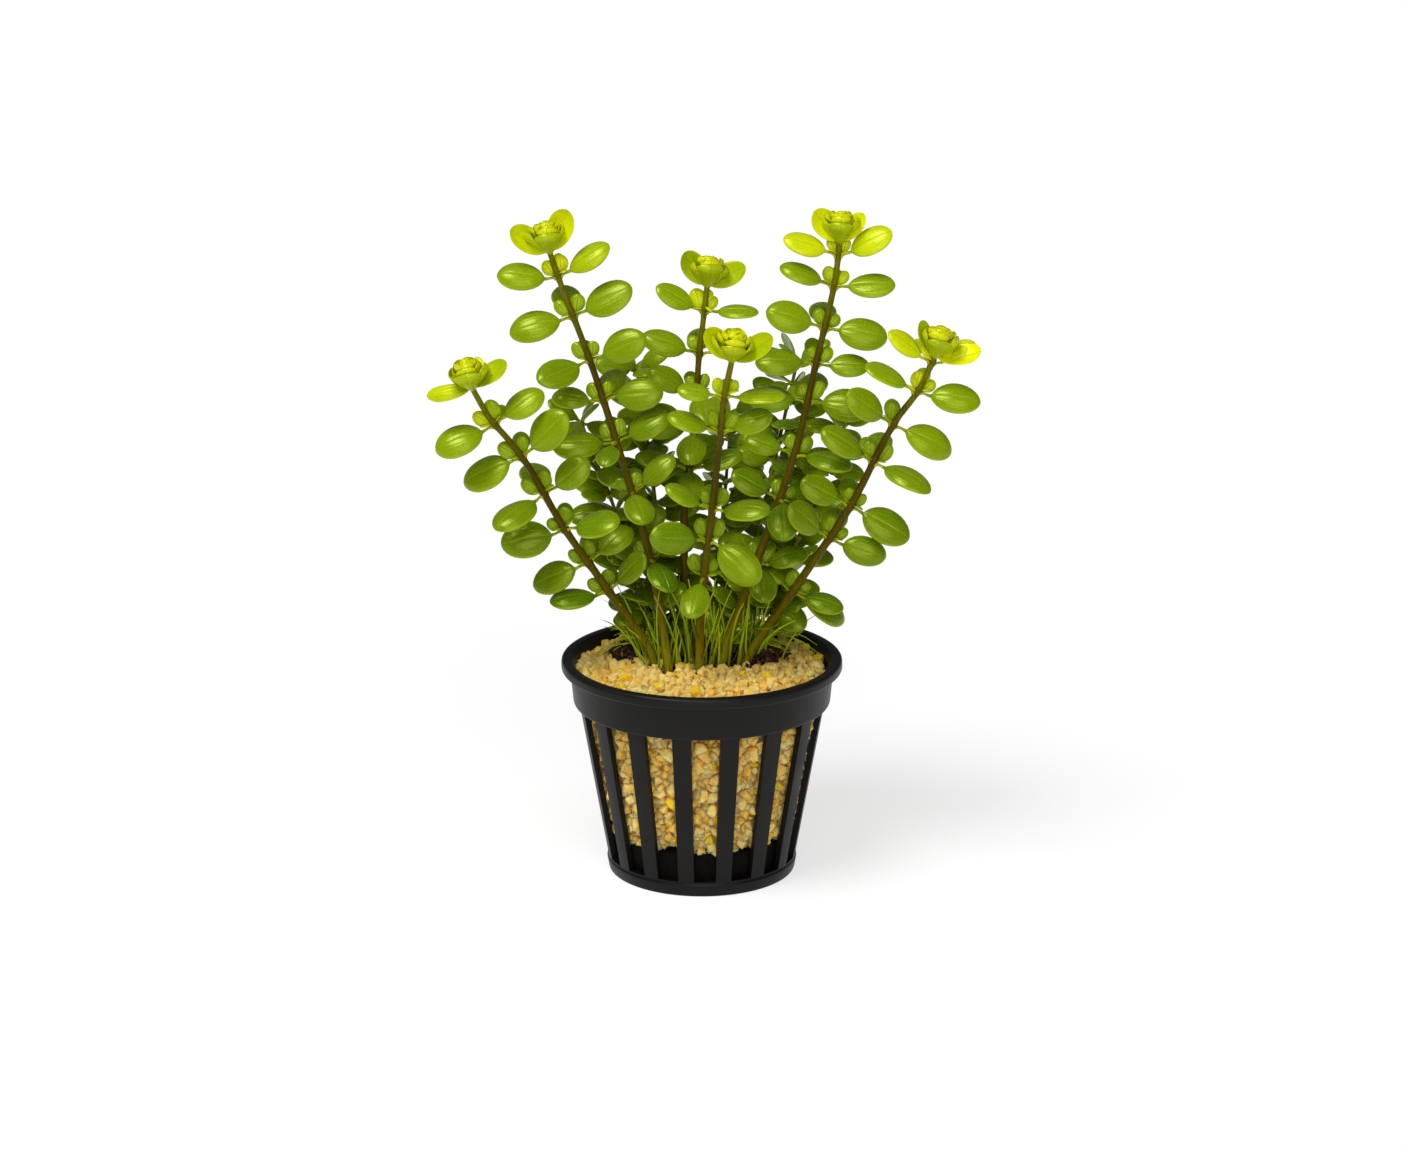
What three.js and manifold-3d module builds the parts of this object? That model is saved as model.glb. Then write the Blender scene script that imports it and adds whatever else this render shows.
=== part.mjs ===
// Potted water hyssop: a bushy water plant rooted in a slotted net pot.
// Millimetres, +Z up. The origin is the middle of the pot's underside.
// The fullest side of the plant faces -Y.

import * as THREE from 'three';
import { mergeVertices } from 'three/addons/utils/BufferGeometryUtils.js';
import Module from 'manifold-3d';

const wasm = await Module();
wasm.setup();

// ---------------------------------------------------------------- driving dimensions

// Net pot
const potHeight = 43.25;
const rimRadius = 27.5;
const baseRadius = 18.1;
const wall = 1.2;
const floorThickness = 1.5;
const lipHeight = 2.1;
const lipOverhang = 1.7;
const lipRound = 0.5;
const bandHeight = 7;
const bandTaper = 0.6;
const bandStep = 1.1;
const footRingHeight = 2.3;
const footRingProud = 0.3;
const ribCount = 16;
const ribWidthAtBase = 3.1;
const ribWidthAtBand = 3.7;
const slotTurn = 1.85;
const slotSill = 0.7;
const drainCount = 8;
const drainWidth = 2.6;
const drainInnerRadius = 8;
const drainOuterRadius = 14.5;
const potSegments = 32;

// What fills the pot
const fitGap = 0.35;
const headspace = 1.25;
const mediumBottom = 8.8;
const mediumEdgeDrop = 1.2;
const rootBallRadius = 11;
const rootBallFootRadius = 9;
const rootBallSegments = 24;
const plantedDepth = 10;
const plantedShare = 0.9;

// Stems
const stemBaseRadius = 1.05;
const stemTipRadius = 0.65;
const stemSides = 8;
const stemStep = 7;
const shootStemShare = 0.8;

// Leaves
const leafWidthShare = 0.7;
const leafFaceRise = 0.3;
const leafBackDrop = 0.55;
const petiole = 2;
const axilLeafLength = 3.6;
const axilPetiole = 0.8;
const axilLeafSpread = 0.8;
const axilLeafSetback = 0.4;
const axilLeafTilt = 0.4;
const collarHeight = 1.5;
const collarWall = 0.8;
const budHeight = 4.6;
const budRadius = 2;
const budNeck = 0.5;
const crownSeat = 0.7;
const leafGap = 0.35;

// ---------------------------------------------------------------- solids

const degrees = Math.PI / 180;
const up = new THREE.Vector3(0, 0, 1);
const back = new THREE.Vector3(0, 1, 0);

// A closed three.js geometry as a manifold solid, its faces turned out.
function solid(source) {
  const bare = source.clone();
  bare.deleteAttribute('normal');
  bare.deleteAttribute('uv');
  const merged = mergeVertices(bare, 1e-4);
  const vertProperties = new Float32Array(merged.attributes.position.array);
  const triangles = [];
  let volume = 0;
  const corner = [0, 1, 2].map(() => new THREE.Vector3());
  for (let i = 0; i < merged.index.count; i += 3) {
    const face = [0, 1, 2].map((k) => merged.index.getX(i + k));
    if (face[0] === face[1] || face[1] === face[2] || face[2] === face[0]) continue;
    face.forEach((vertex, k) => corner[k].fromArray(vertProperties, vertex * 3));
    volume += corner[0].dot(corner[1].clone().cross(corner[2]));
    triangles.push(face);
  }
  if (volume < 0) triangles.forEach((face) => face.reverse());
  const triVerts = new Uint32Array(triangles.flat());
  return new wasm.Manifold(new wasm.Mesh({ numProp: 3, vertProperties, triVerts }));
}

function geometryOf(body) {
  const mesh = body.getMesh();
  const geometry = new THREE.BufferGeometry();
  geometry.setAttribute('position', new THREE.BufferAttribute(new Float32Array(mesh.vertProperties), 3));
  geometry.setIndex(new THREE.BufferAttribute(new Uint32Array(mesh.triVerts), 1));
  geometry.computeVertexNormals();
  return geometry;
}

function joined(solids) {
  return solids.reduce((sum, next) => sum.add(next));
}

function node(name, body, material) {
  const mesh = new THREE.Mesh(geometryOf(body), material);
  mesh.name = name;
  return mesh;
}

// A solid of revolution about Z from [radius, height] pairs.
function turned(profile, segments) {
  const points = profile.map(([radius, height]) => new THREE.Vector2(radius, height));
  return new THREE.LatheGeometry(points, segments).rotateX(Math.PI / 2);
}

// A round bar through the centres, with its own radius at each and a fan at each end.
function bar(centres, frames, radii) {
  const positions = [];
  const index = [];
  centres.forEach((centre, i) => {
    for (let k = 0; k < stemSides; k++) {
      const turn = (2 * Math.PI * k) / stemSides;
      const rim = centre.clone()
        .addScaledVector(frames.normals[i], radii[i] * Math.cos(turn))
        .addScaledVector(frames.binormals[i], radii[i] * Math.sin(turn));
      positions.push(...rim);
    }
  });
  const last = centres.length - 1;
  positions.push(...centres[0], ...centres[last]);
  const foot = centres.length * stemSides;
  const tip = foot + 1;
  for (let k = 0; k < stemSides; k++) {
    const next = (k + 1) % stemSides;
    for (let i = 0; i < last; i++) {
      const low = i * stemSides;
      const high = low + stemSides;
      index.push(low + k, low + next, high + next, low + k, high + next, high + k);
    }
    index.push(foot, next, k, tip, last * stemSides + k, last * stemSides + next);
  }
  const geometry = new THREE.BufferGeometry();
  geometry.setAttribute('position', new THREE.Float32BufferAttribute(positions, 3));
  geometry.setIndex(index);
  return geometry;
}

// ---------------------------------------------------------------- net pot

const lipBottom = potHeight - lipHeight;
const bandBottom = lipBottom - bandHeight;
const bandTopRadius = rimRadius - lipOverhang;
const bandBottomRadius = bandTopRadius - bandTaper;
const bodyTopRadius = bandBottomRadius - bandStep;

function bodyRadius(height) {
  return THREE.MathUtils.lerp(baseRadius, bodyTopRadius, height / bandBottom);
}

function insideRadius(height) {
  if (height <= bandBottom) return bodyRadius(height) - wall;
  const rise = Math.min(1, (height - bandBottom) / bandHeight);
  return THREE.MathUtils.lerp(bodyTopRadius, bandTopRadius, rise) - wall;
}

function potShell() {
  return solid(turned([
    [0, 0],
    [bodyRadius(0) + footRingProud, 0],
    [bodyRadius(footRingHeight) + footRingProud, footRingHeight],
    [bodyRadius(footRingHeight), footRingHeight + footRingProud],
    [bodyTopRadius, bandBottom],
    [bandBottomRadius, bandBottom + bandStep / 2],
    [bandTopRadius, lipBottom],
    [rimRadius - lipRound, lipBottom],
    [rimRadius, lipBottom + lipRound],
    [rimRadius, potHeight - lipRound],
    [rimRadius - lipRound, potHeight],
    [bandTopRadius, potHeight],
    [insideRadius(lipBottom), lipBottom],
    [insideRadius(bandBottom), bandBottom],
    [insideRadius(floorThickness), floorThickness],
    [0, floorThickness],
  ], potSegments));
}

// One side slot, wider at the band than at the foot ring, cut straight out towards -Y.
function sideSlot(turn) {
  const pitch = 2 * Math.PI / ribCount;
  const low = footRingHeight + slotSill;
  const halfLow = (bodyRadius(low) * pitch - ribWidthAtBase) / 2;
  const halfHigh = (bodyTopRadius * pitch - ribWidthAtBand) / 2;
  const shape = new THREE.Shape([
    new THREE.Vector2(-halfLow, low),
    new THREE.Vector2(halfLow, low),
    new THREE.Vector2(halfHigh, bandBottom),
    new THREE.Vector2(-halfHigh, bandBottom),
  ]);
  const cutter = new THREE.ExtrudeGeometry(shape, { depth: rimRadius, bevelEnabled: false });
  cutter.translate(0, 0, drainOuterRadius);
  return solid(cutter.rotateX(Math.PI / 2).rotateZ(turn));
}

function drainSlot(turn) {
  const length = drainOuterRadius - drainInnerRadius;
  const cutter = new THREE.BoxGeometry(length, drainWidth, 3 * floorThickness);
  cutter.translate(drainInnerRadius + length / 2, 0, 0);
  return solid(cutter.rotateZ(turn));
}

function netPot() {
  let pot = potShell();
  for (let i = 0; i < ribCount; i++) {
    pot = pot.subtract(sideSlot((slotTurn * degrees) + (2 * Math.PI * i) / ribCount));
  }
  for (let i = 0; i < drainCount; i++) {
    pot = pot.subtract(drainSlot((2 * Math.PI * (i + 0.5)) / drainCount));
  }
  return pot;
}

// ---------------------------------------------------------------- medium, root ball, peat

const surface = potHeight - headspace;
const rootBallShoulder = mediumBottom - fitGap;

function rootBallSide(height) {
  const rise = (height - rootBallShoulder) / (surface - rootBallShoulder);
  return THREE.MathUtils.lerp(rootBallFootRadius, rootBallRadius, rise);
}

// The granules: a ring between the root ball and the pot's ribs.
function growingMedium() {
  const edge = surface - mediumEdgeDrop;
  return solid(turned([
    [rootBallSide(mediumBottom) + fitGap, mediumBottom],
    [insideRadius(mediumBottom) - fitGap, mediumBottom],
    [insideRadius(bandBottom) - fitGap, bandBottom],
    [insideRadius(edge) - fitGap, edge],
    [rootBallRadius + fitGap, surface],
    [rootBallSide(mediumBottom) + fitGap, mediumBottom],
  ], potSegments));
}

// The dark root mass: a wide foot under the granules and a core up the middle, with a hole for each stem.
function rootBall(plantedStems) {
  const bottom = floorThickness + fitGap;
  const body = solid(turned([
    [0, bottom],
    [insideRadius(bottom) - fitGap, bottom],
    [insideRadius(rootBallShoulder) - fitGap, rootBallShoulder],
    [rootBallFootRadius, rootBallShoulder],
    [rootBallRadius, surface],
    [0, surface],
  ], rootBallSegments));
  return plantedStems.reduce((ball, stem) => ball.subtract(stem), body);
}

// A low heap of peat crumbs on the granules, flat underneath. Its middle lies at a turn from +X and some share
// of the way out from the root ball to the pot's wall, and it is another share of that way across.
function peatHeap({ turn, out, across, height }) {
  const way = insideRadius(surface - mediumEdgeDrop) - rootBallRadius;
  const middle = rootBallRadius + way * out;
  const radius = (way * across) / 2;
  const dome = turned([[0, 0], [1, 0], [0.9, 0.5], [0.55, 0.9], [0, 1]], 10);
  dome.scale(radius, radius, height).translate(middle, 0, surface + fitGap).rotateZ(turn * degrees);
  return solid(dome);
}

const peatHeaps = [
  { name: 'peat_left', turn: 160, out: 0.52, across: 0.7, height: 2.2 },
  { name: 'peat_right', turn: 28, out: 0.34, across: 0.55, height: 1.8 },
];

// ---------------------------------------------------------------- the plant's habit

// Heights are above the medium's surface. A stem's foot is where it leaves the root ball, as [x, y] shares of
// the ball's radius, and its path is the points that it goes on through, up to its tip.
// A leaf is [aim, length, tilt, forward]:
//   aim      where it points, seen from -Y: 0 is right, 90 is up
//   length   of its blade
//   tilt     how far its face leans from straight up towards -Y
//   forward  how far it swings out of that view towards -Y, or away from it when negative
const stems = [
  {
    name: 'stem_left_low',
    foot: [-0.82, -0.09],
    path: [[-18.5, -3, 16], [-26.5, -6, 29], [-34.5, -9.5, 44.5], [-39.5, -11, 51], [-43, -12, 57.5]],
    crown: [[193, 7.7, 25, 5], [32, 7.4, 30, -5]],
    whorls: [
      [50.5, [202, 9.3, 45, 10], [34, 8.2, 40, -10]],
      [44, [207, 9.7, 45, -5], [49, 9.5, 55, 10]],
      [36, [205, 10, 20, 40], [40, 7.8, 60, 0], [130, 8, 20, -60]],
      [28.5, [190, 9.7, 65, 5], [15, 9.7, 40, 30]],
      [21.5, [205, 8.9, 50, -5], [35, 7.8, 40, -20], [70, 8, 20, -70]],
      [15.5, [185, 8.7, 25, 15], [50, 7.8, 40, 10]],
    ],
  },
  {
    name: 'stem_left_high',
    foot: [-0.59, -0.45],
    path: [[-10, -2, 21.5], [-16.5, 2, 44], [-21.5, 4, 59.5], [-27.5, 5.5, 75.5], [-29, 6, 80]],
    crown: [[150, 7.8, 60, 10], [65, 7.8, 50, 0]],
    whorls: [
      [75.5, [173, 8.9, 45, 5], [35, 8.7, 30, -5]],
      [68, [192, 9.7, 50, 10], [28, 9.7, 50, 0], [120, 8, 20, -60]],
      [59.5, [195, 9.3, 50, 35], [25, 8.9, 60, 5]],
      [52, [172, 7, 40, 0], [8, 8.9, 60, 10], [60, 8, 20, -65]],
      [44, [180, 9.3, 40, 10], [30, 8.5, 45, 0], [240, 6, 0, 65]],
      [34.5, [-60, 8.5, 20, 60], [45, 7.8, 40, 0], [150, 8, 20, -50]],
      [21.5, [-80, 8, 10, 60], [160, 7.5, 30, 10], [50, 7.5, 20, -60]],
    ],
  },
  {
    name: 'stem_centre_back',
    foot: [-0.23, 0.5],
    path: [[-3.5, 10.5, 27], [-1.5, 14.5, 43], [-0.5, 17.5, 58], [0.5, 19, 66], [1, 20, 70.5]],
    crown: [[125, 7.4, 60, 10], [25, 7.4, 60, 0]],
    whorls: [
      [66, [148, 7.8, 40, 0], [3, 7.8, 20, 10]],
      [58, [163, 8.9, 45, 0], [10, 8, 30, -10], [80, 8, 20, -70]],
      [50.5, [150, 7.8, 50, 10], [-70, 8, 20, 60]],
      [43, [172, 8.5, 50, 0], [-100, 8, 20, 60], [20, 8, 30, -50]],
      [36, [165, 8, 30, 10], [20, 8, 30, 5], [-90, 8, 20, 60]],
    ],
  },
  {
    name: 'stem_centre_front',
    foot: [-0.05, -0.5],
    path: [[0, -9, 16.5], [2, -12.5, 34.5], [3.5, -16, 50.5], [5, -18.5, 63], [5.5, -19, 64.5]],
    crown: [[130, 7, 65, 10], [30, 7.8, 50, 5]],
    whorls: [
      [57.5, [170, 6, 40, 0], [5, 8.5, 20, 10]],
      [50.5, [160, 7.5, 30, 5], [25, 7.4, 50, 5], [100, 7, 20, -60]],
      [34.5, [150, 7, 30, 0], [8, 9.3, 30, 30]],
      [28, [168, 9.5, 75, 25], [-38, 10, 75, 25]],
      [20.5, [-112, 8, 30, 50], [20, 7, 30, -30]],
    ],
  },
  {
    name: 'stem_right_high',
    foot: [0.32, -0.36],
    path: [[10.5, 0, 20], [18, 4.5, 41], [22, 7.5, 58], [25.5, 10, 73], [26.5, 11, 81]],
    crown: [[130, 7, 60, 10], [50, 6, 50, 0]],
    whorls: [
      [79, [160, 8.2, 40, 5], [28, 8.5, 45, 5]],
      [73, [158, 8.2, 30, 0], [2, 8.9, 40, 5]],
      [65, [162, 8.9, 55, 5], [-8, 9.3, 55, 5], [90, 8, 20, -70]],
      [58, [178, 8.9, 45, 10], [0, 7.4, 45, 0]],
      [51, [180, 8.5, 50, 0], [-5, 9.3, 55, 5], [60, 8, 20, -65]],
      [41, [165, 7, 45, -5], [-5, 9.3, 20, 30]],
      [32.5, [-90, 8.5, 0, 55], [150, 7.5, 45, 0]],
      [20, [-80, 8, 0, 55], [20, 7.5, 30, 0], [130, 7.5, 20, -60]],
    ],
  },
  {
    name: 'stem_right_low',
    foot: [0.77, -0.14],
    path: [[17.5, -2.5, 15], [28.5, -3.5, 32.5], [36.5, -4.5, 49], [41, -5, 55.5], [44, -5, 62]],
    crown: [[115, 6.6, 25, 5], [5, 7.8, 40, 5]],
    whorls: [
      [61, [140, 7.4, 30, 0], [30, 7, 30, -15]],
      [55.5, [153, 8.5, 25, 5], [-5, 9.3, 50, 5]],
      [49, [143, 8.5, 55, 10], [-26, 9.7, 50, 0]],
      [41.5, [147, 8.9, 40, 0], [-20, 10, 15, 30], [60, 8, 20, -65]],
      [32.5, [150, 7.8, 55, 5], [-28, 10, 50, 5]],
      [26, [135, 8.2, 50, 5], [-15, 8.5, 70, 5], [60, 7.5, 20, -65]],
      [15, [-12, 7.4, 30, 10], [-33, 9.7, 35, -15], [150, 7, 40, 0]],
    ],
  },
];

// Younger shoots behind, each one piece with its leaves, which stand in crossed pairs.
const shoots = [
  { name: 'back_shoot_1', foot: [-0.77, 0.36], path: [[-15, 10, 22], [-24, 16, 45]] },
  { name: 'back_shoot_2', foot: [-0.45, 0.73], path: [[-9, 18, 26], [-13, 27, 53]] },
  { name: 'back_shoot_3', foot: [0.14, 0.73], path: [[4, 20, 22], [6, 30, 43]] },
  { name: 'back_shoot_4', foot: [0.5, 0.45], path: [[12, 15, 26], [19, 25, 55]] },
  { name: 'back_shoot_5', foot: [0.82, 0.27], path: [[18, 10, 20], [28, 16, 44]] },
];
const shootFirstWhorl = 10;
const shootWhorlStep = 7.5;
const shootLeavesPerWhorl = 3;
const shootWhorlTurn = 60;
const shootLeafLength = 9;
const shootTipLeafShare = 0.7;
const shootLeafRise = 0.35;

// ---------------------------------------------------------------- stems

function stemCurve({ foot, path }) {
  const points = path.map(([x, y, height]) => new THREE.Vector3(x, y, surface + height));
  const leaves = new THREE.Vector3(foot[0] * rootBallRadius, foot[1] * rootBallRadius, surface);
  const planted = new THREE.Vector3(leaves.x * plantedShare, leaves.y * plantedShare, surface - plantedDepth);
  return new THREE.CatmullRomCurve3([planted, leaves, ...points], false, 'centripetal');
}

// Where a rising curve reaches a height above the medium: its point, its direction and how far along it is.
function atHeight(curve, height) {
  let low = 0;
  let high = 1;
  while (high - low > 1e-5) {
    const middle = (low + high) / 2;
    if (curve.getPointAt(middle).z < surface + height) low = middle;
    else high = middle;
  }
  return { point: curve.getPointAt(low), along: curve.getTangentAt(low), share: low };
}

// A stem, or with a clearance the hole that it stands in.
function stemBar(curve, thickness = 1, clearance = 0) {
  const steps = Math.ceil(curve.getLength() / stemStep);
  const frames = curve.computeFrenetFrames(steps, false);
  const shares = Array.from({ length: steps + 1 }, (_, i) => i / steps);
  const centres = shares.map((share) => curve.getPointAt(share));
  centres[0].addScaledVector(curve.getTangentAt(0), -clearance);
  const radii = shares.map((share) => (
    thickness * THREE.MathUtils.lerp(stemBaseRadius, stemTipRadius, share) + clearance
  ));
  return solid(bar(centres, frames, radii));
}

// ---------------------------------------------------------------- leaves

// A blade is a shallow lens: seven points round an oval and one at the foot of its petiole,
// joined to a point above and a deeper point below.
const ovalPoints = 7;

function leafBlade(root, direction, face, length, stalk) {
  const side = new THREE.Vector3().crossVectors(face, direction);
  const centre = root.clone().addScaledVector(direction, stalk + length / 2);
  const outline = [root];
  for (let i = 0; i < ovalPoints; i++) {
    const turn = Math.PI * (1 - (2 * (i + 1)) / (ovalPoints + 1));
    outline.push(centre.clone()
      .addScaledVector(direction, (length / 2) * Math.cos(turn))
      .addScaledVector(side, (length / 2) * leafWidthShare * Math.sin(turn)));
  }
  const top = centre.clone().addScaledVector(face, leafFaceRise);
  const bottom = centre.clone().addScaledVector(face, -leafBackDrop);
  const geometry = new THREE.BufferGeometry();
  const corners = [...outline, top, bottom];
  geometry.setAttribute('position', new THREE.Float32BufferAttribute(corners.flatMap((p) => [...p]), 3));
  const index = [];
  outline.forEach((_, i) => {
    const next = (i + 1) % outline.length;
    index.push(i, next, outline.length, next, i, outline.length + 1);
  });
  geometry.setIndex(index);
  return solid(geometry);
}

// The unit direction and face of a [aim, length, tilt, forward] leaf.
function leafAttitude(aim, tilt, forward) {
  const flat = Math.cos(forward * degrees);
  const direction = new THREE.Vector3(
    flat * Math.cos(aim * degrees), -Math.sin(forward * degrees), flat * Math.sin(aim * degrees));
  const lean = new THREE.Vector3(0, -Math.sin(tilt * degrees), Math.cos(tilt * degrees));
  const face = lean.addScaledVector(direction, -lean.dot(direction)).normalize();
  return { direction, face };
}

// What a new leaf has to stay clear of: each solid with its box and the piece it belongs to.
const placed = [];

function place(body, owner) {
  const { min, max } = body.boundingBox();
  const box = new THREE.Box3(new THREE.Vector3(...min), new THREE.Vector3(...max));
  placed.push({ body, owner, box });
  return body;
}

function isClear(body, owner) {
  const { min, max } = body.boundingBox();
  const box = new THREE.Box3(new THREE.Vector3(...min), new THREE.Vector3(...max));
  const reach = box.expandByScalar(leafGap);
  return placed
    .filter((other) => other.owner !== owner && other.box.intersectsBox(reach))
    .every((other) => body.minGap(other.body, leafGap) >= leafGap);
}

// Leaves share the light by turning, lifting and, where it is crowded, staying small.
const sizes = [1, 0.9, 0.8, 0.7, 0.6, 0.5, 0.4, 0.3];
const lifts = [0, 10, -10, 20, -20, 32, -32, 45];
const swings = [0, 10, -10, 20, -20, 32, -32, 45, -45, 60, -60, 80, -80];

function growLeaf({ point, along, radius, direction, face, length, stalk, owner }) {
  for (const size of sizes) {
    for (const lift of lifts) {
      for (const swing of swings) {
        const axis = new THREE.Vector3().crossVectors(direction, along).normalize();
        const turn = new THREE.Quaternion().setFromAxisAngle(along, swing * degrees)
          .multiply(new THREE.Quaternion().setFromAxisAngle(axis, lift * degrees));
        const aim = direction.clone().applyQuaternion(turn);
        const outward = aim.clone().addScaledVector(along, -aim.dot(along)).normalize();
        const root = point.clone().addScaledVector(outward, radius);
        const blade = leafBlade(root, aim, face.clone().applyQuaternion(turn), length * size, stalk);
        if (isClear(blade, owner)) return place(blade, owner);
      }
    }
  }
  throw new Error(`${owner} has a leaf with nowhere to grow`);
}

// ---------------------------------------------------------------- whorls

// The swollen ring where a whorl's petioles clasp the stem.
function collar({ point, along, stemRadius }) {
  const inside = stemRadius + fitGap;
  const ring = turned([
    [inside, -collarHeight / 2],
    [inside + collarWall, 0],
    [inside, collarHeight / 2],
    [inside, -collarHeight / 2],
  ], stemSides);
  ring.applyQuaternion(new THREE.Quaternion().setFromUnitVectors(up, along));
  return solid(ring.translate(...point));
}

// The two small leaves that stand in the axils, close behind the stem.
function axilLeaves(along) {
  const sideways = new THREE.Vector3().crossVectors(along, back).normalize();
  return [1, -1].map((hand) => {
    const direction = along.clone()
      .addScaledVector(sideways, axilLeafSpread * hand)
      .addScaledVector(back, axilLeafSetback)
      .normalize();
    const lean = new THREE.Vector3(0, -1, axilLeafTilt);
    const face = lean.addScaledVector(direction, -lean.dot(direction)).normalize();
    return { direction, face, length: axilLeafLength, stalk: axilPetiole };
  });
}

function bigLeaves(leaves) {
  return leaves.map(([aim, length, tilt, forward]) => (
    { ...leafAttitude(aim, tilt, forward), length, stalk: petiole }
  ));
}

function whorl(name, seat, leaves) {
  const { point, along, stemRadius } = seat;
  const radius = stemRadius + fitGap + collarWall / 2;
  const blades = leaves.map((leaf) => growLeaf({ point, along, radius, owner: name, ...leaf }));
  return joined([seat.collar, ...blades]);
}

// The tip of a stem: a closed bud with young leaves round it.
function crown(name, { point, along }, leaves) {
  const foot = point.clone().addScaledVector(along, fitGap);
  const bud = turned([
    [0, 0],
    [budNeck * budRadius, 0],
    [budRadius, 0.4 * budHeight],
    [0.85 * budRadius, 0.75 * budHeight],
    [0, budHeight],
  ], stemSides);
  bud.applyQuaternion(new THREE.Quaternion().setFromUnitVectors(up, along));
  const heart = place(solid(bud.translate(...foot)), name);
  const seat = foot.clone().addScaledVector(along, crownSeat);
  const radius = budNeck * budRadius / 2;
  const blades = leaves.map((leaf) => growLeaf({ point: seat, along, radius, owner: name, ...leaf }));
  return joined([heart, ...blades]);
}

const crownBackLeaves = [[75, 6.5, 30, -45], [160, 6, 30, -50]];

// ---------------------------------------------------------------- back shoots

// Rings of leaves from the lowest node to the tip, shorter and steeper as they go up.
function shoot(name, curve, stem) {
  const top = curve.getPointAt(1).z - surface - stemTipRadius;
  const count = Math.round((top - shootFirstWhorl) / shootWhorlStep);
  const pieces = [stem];
  for (let i = 0; i <= count; i++) {
    const rise = i / count;
    const { point, along } = atHeight(curve, THREE.MathUtils.lerp(shootFirstWhorl, top, rise));
    const length = shootLeafLength * THREE.MathUtils.lerp(1, shootTipLeafShare, rise);
    for (let k = 0; k < shootLeavesPerWhorl; k++) {
      const turn = (shootWhorlTurn * i + (360 * k) / shootLeavesPerWhorl) * degrees;
      const lift = shootLeafRise * (1 + rise);
      const direction = new THREE.Vector3(Math.cos(turn), Math.sin(turn), lift).normalize();
      const face = up.clone().addScaledVector(direction, -direction.z).normalize();
      const leaf = { direction, face, length, stalk: petiole };
      pieces.push(growLeaf({ point, along, radius: 0, owner: name, ...leaf }));
    }
  }
  return joined(pieces);
}

// ---------------------------------------------------------------- the object

const finish = {
  pot: new THREE.MeshStandardMaterial({ color: '#1b1d1f', roughness: 0.42, metalness: 0 }),
  granules: new THREE.MeshStandardMaterial({ color: '#d8cfa4', roughness: 0.6, metalness: 0 }),
  roots: new THREE.MeshStandardMaterial({ color: '#2b1a0d', roughness: 0.9, metalness: 0 }),
  peat: new THREE.MeshStandardMaterial({ color: '#3a1c10', roughness: 0.95, metalness: 0 }),
  stem: new THREE.MeshStandardMaterial({ color: '#4a3d10', roughness: 0.5, metalness: 0 }),
  leaf: new THREE.MeshStandardMaterial({ color: '#6f9410', roughness: 0.4, metalness: 0 }),
  crown: new THREE.MeshStandardMaterial({ color: '#b9cc14', roughness: 0.4, metalness: 0 }),
  shade: new THREE.MeshStandardMaterial({ color: '#3f6410', roughness: 0.45, metalness: 0 }),
};

const curves = stems.map(stemCurve);
const shootCurves = shoots.map(stemCurve);

const sockets = [
  ...curves.map((curve) => stemBar(curve, 1, fitGap)),
  ...shootCurves.map((curve) => stemBar(curve, shootStemShare, fitGap)),
];

const pot = new THREE.Group();
pot.add(node('net_pot', place(netPot(), 'net_pot'), finish.pot));
pot.add(node('growing_medium', place(growingMedium(), 'growing_medium'), finish.granules));
pot.add(node('root_ball', rootBall(sockets), finish.roots));
peatHeaps.forEach((heap) => pot.add(node(heap.name, place(peatHeap(heap), heap.name), finish.peat)));

// Every stem and collar stands before the first leaf of the main stems grows.
const plant = new THREE.Group();
stems.forEach((stem, i) => {
  const body = place(stemBar(curves[i]), stem.name);
  plant.add(node(stem.name, body, finish.stem));
  stem.seats = stem.whorls.map(([height], k) => {
    const seat = atHeight(curves[i], height);
    seat.name = `${stem.name}_whorl_${stem.whorls.length - k}`;
    seat.stemRadius = THREE.MathUtils.lerp(stemBaseRadius, stemTipRadius, seat.share);
    seat.collar = place(collar(seat), seat.name);
    return seat;
  });
});

stems.forEach((stem, i) => {
  const tip = { point: curves[i].getPointAt(1), along: curves[i].getTangentAt(1) };
  const crownName = `${stem.name}_crown`;
  const crownLeaves = bigLeaves([...stem.crown, ...crownBackLeaves]);
  plant.add(node(crownName, crown(crownName, tip, crownLeaves), finish.crown));
  stem.whorls.forEach(([, ...leaves], k) => {
    const seat = stem.seats[k];
    const body = whorl(seat.name, seat, [...bigLeaves(leaves), ...axilLeaves(seat.along)]);
    plant.add(node(seat.name, body, finish.leaf));
  });
});

const shootStems = shoots.map((each, i) => place(stemBar(shootCurves[i], shootStemShare), each.name));
shoots.forEach((each, i) => {
  plant.add(node(each.name, shoot(each.name, shootCurves[i], shootStems[i]), finish.shade));
});

const group = new THREE.Group();
group.add(pot, plant);
export default group;
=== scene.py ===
import math
from collections import defaultdict

import bmesh
import bpy
import numpy as np
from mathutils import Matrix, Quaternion, Vector
from numpy.linalg import norm


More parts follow.
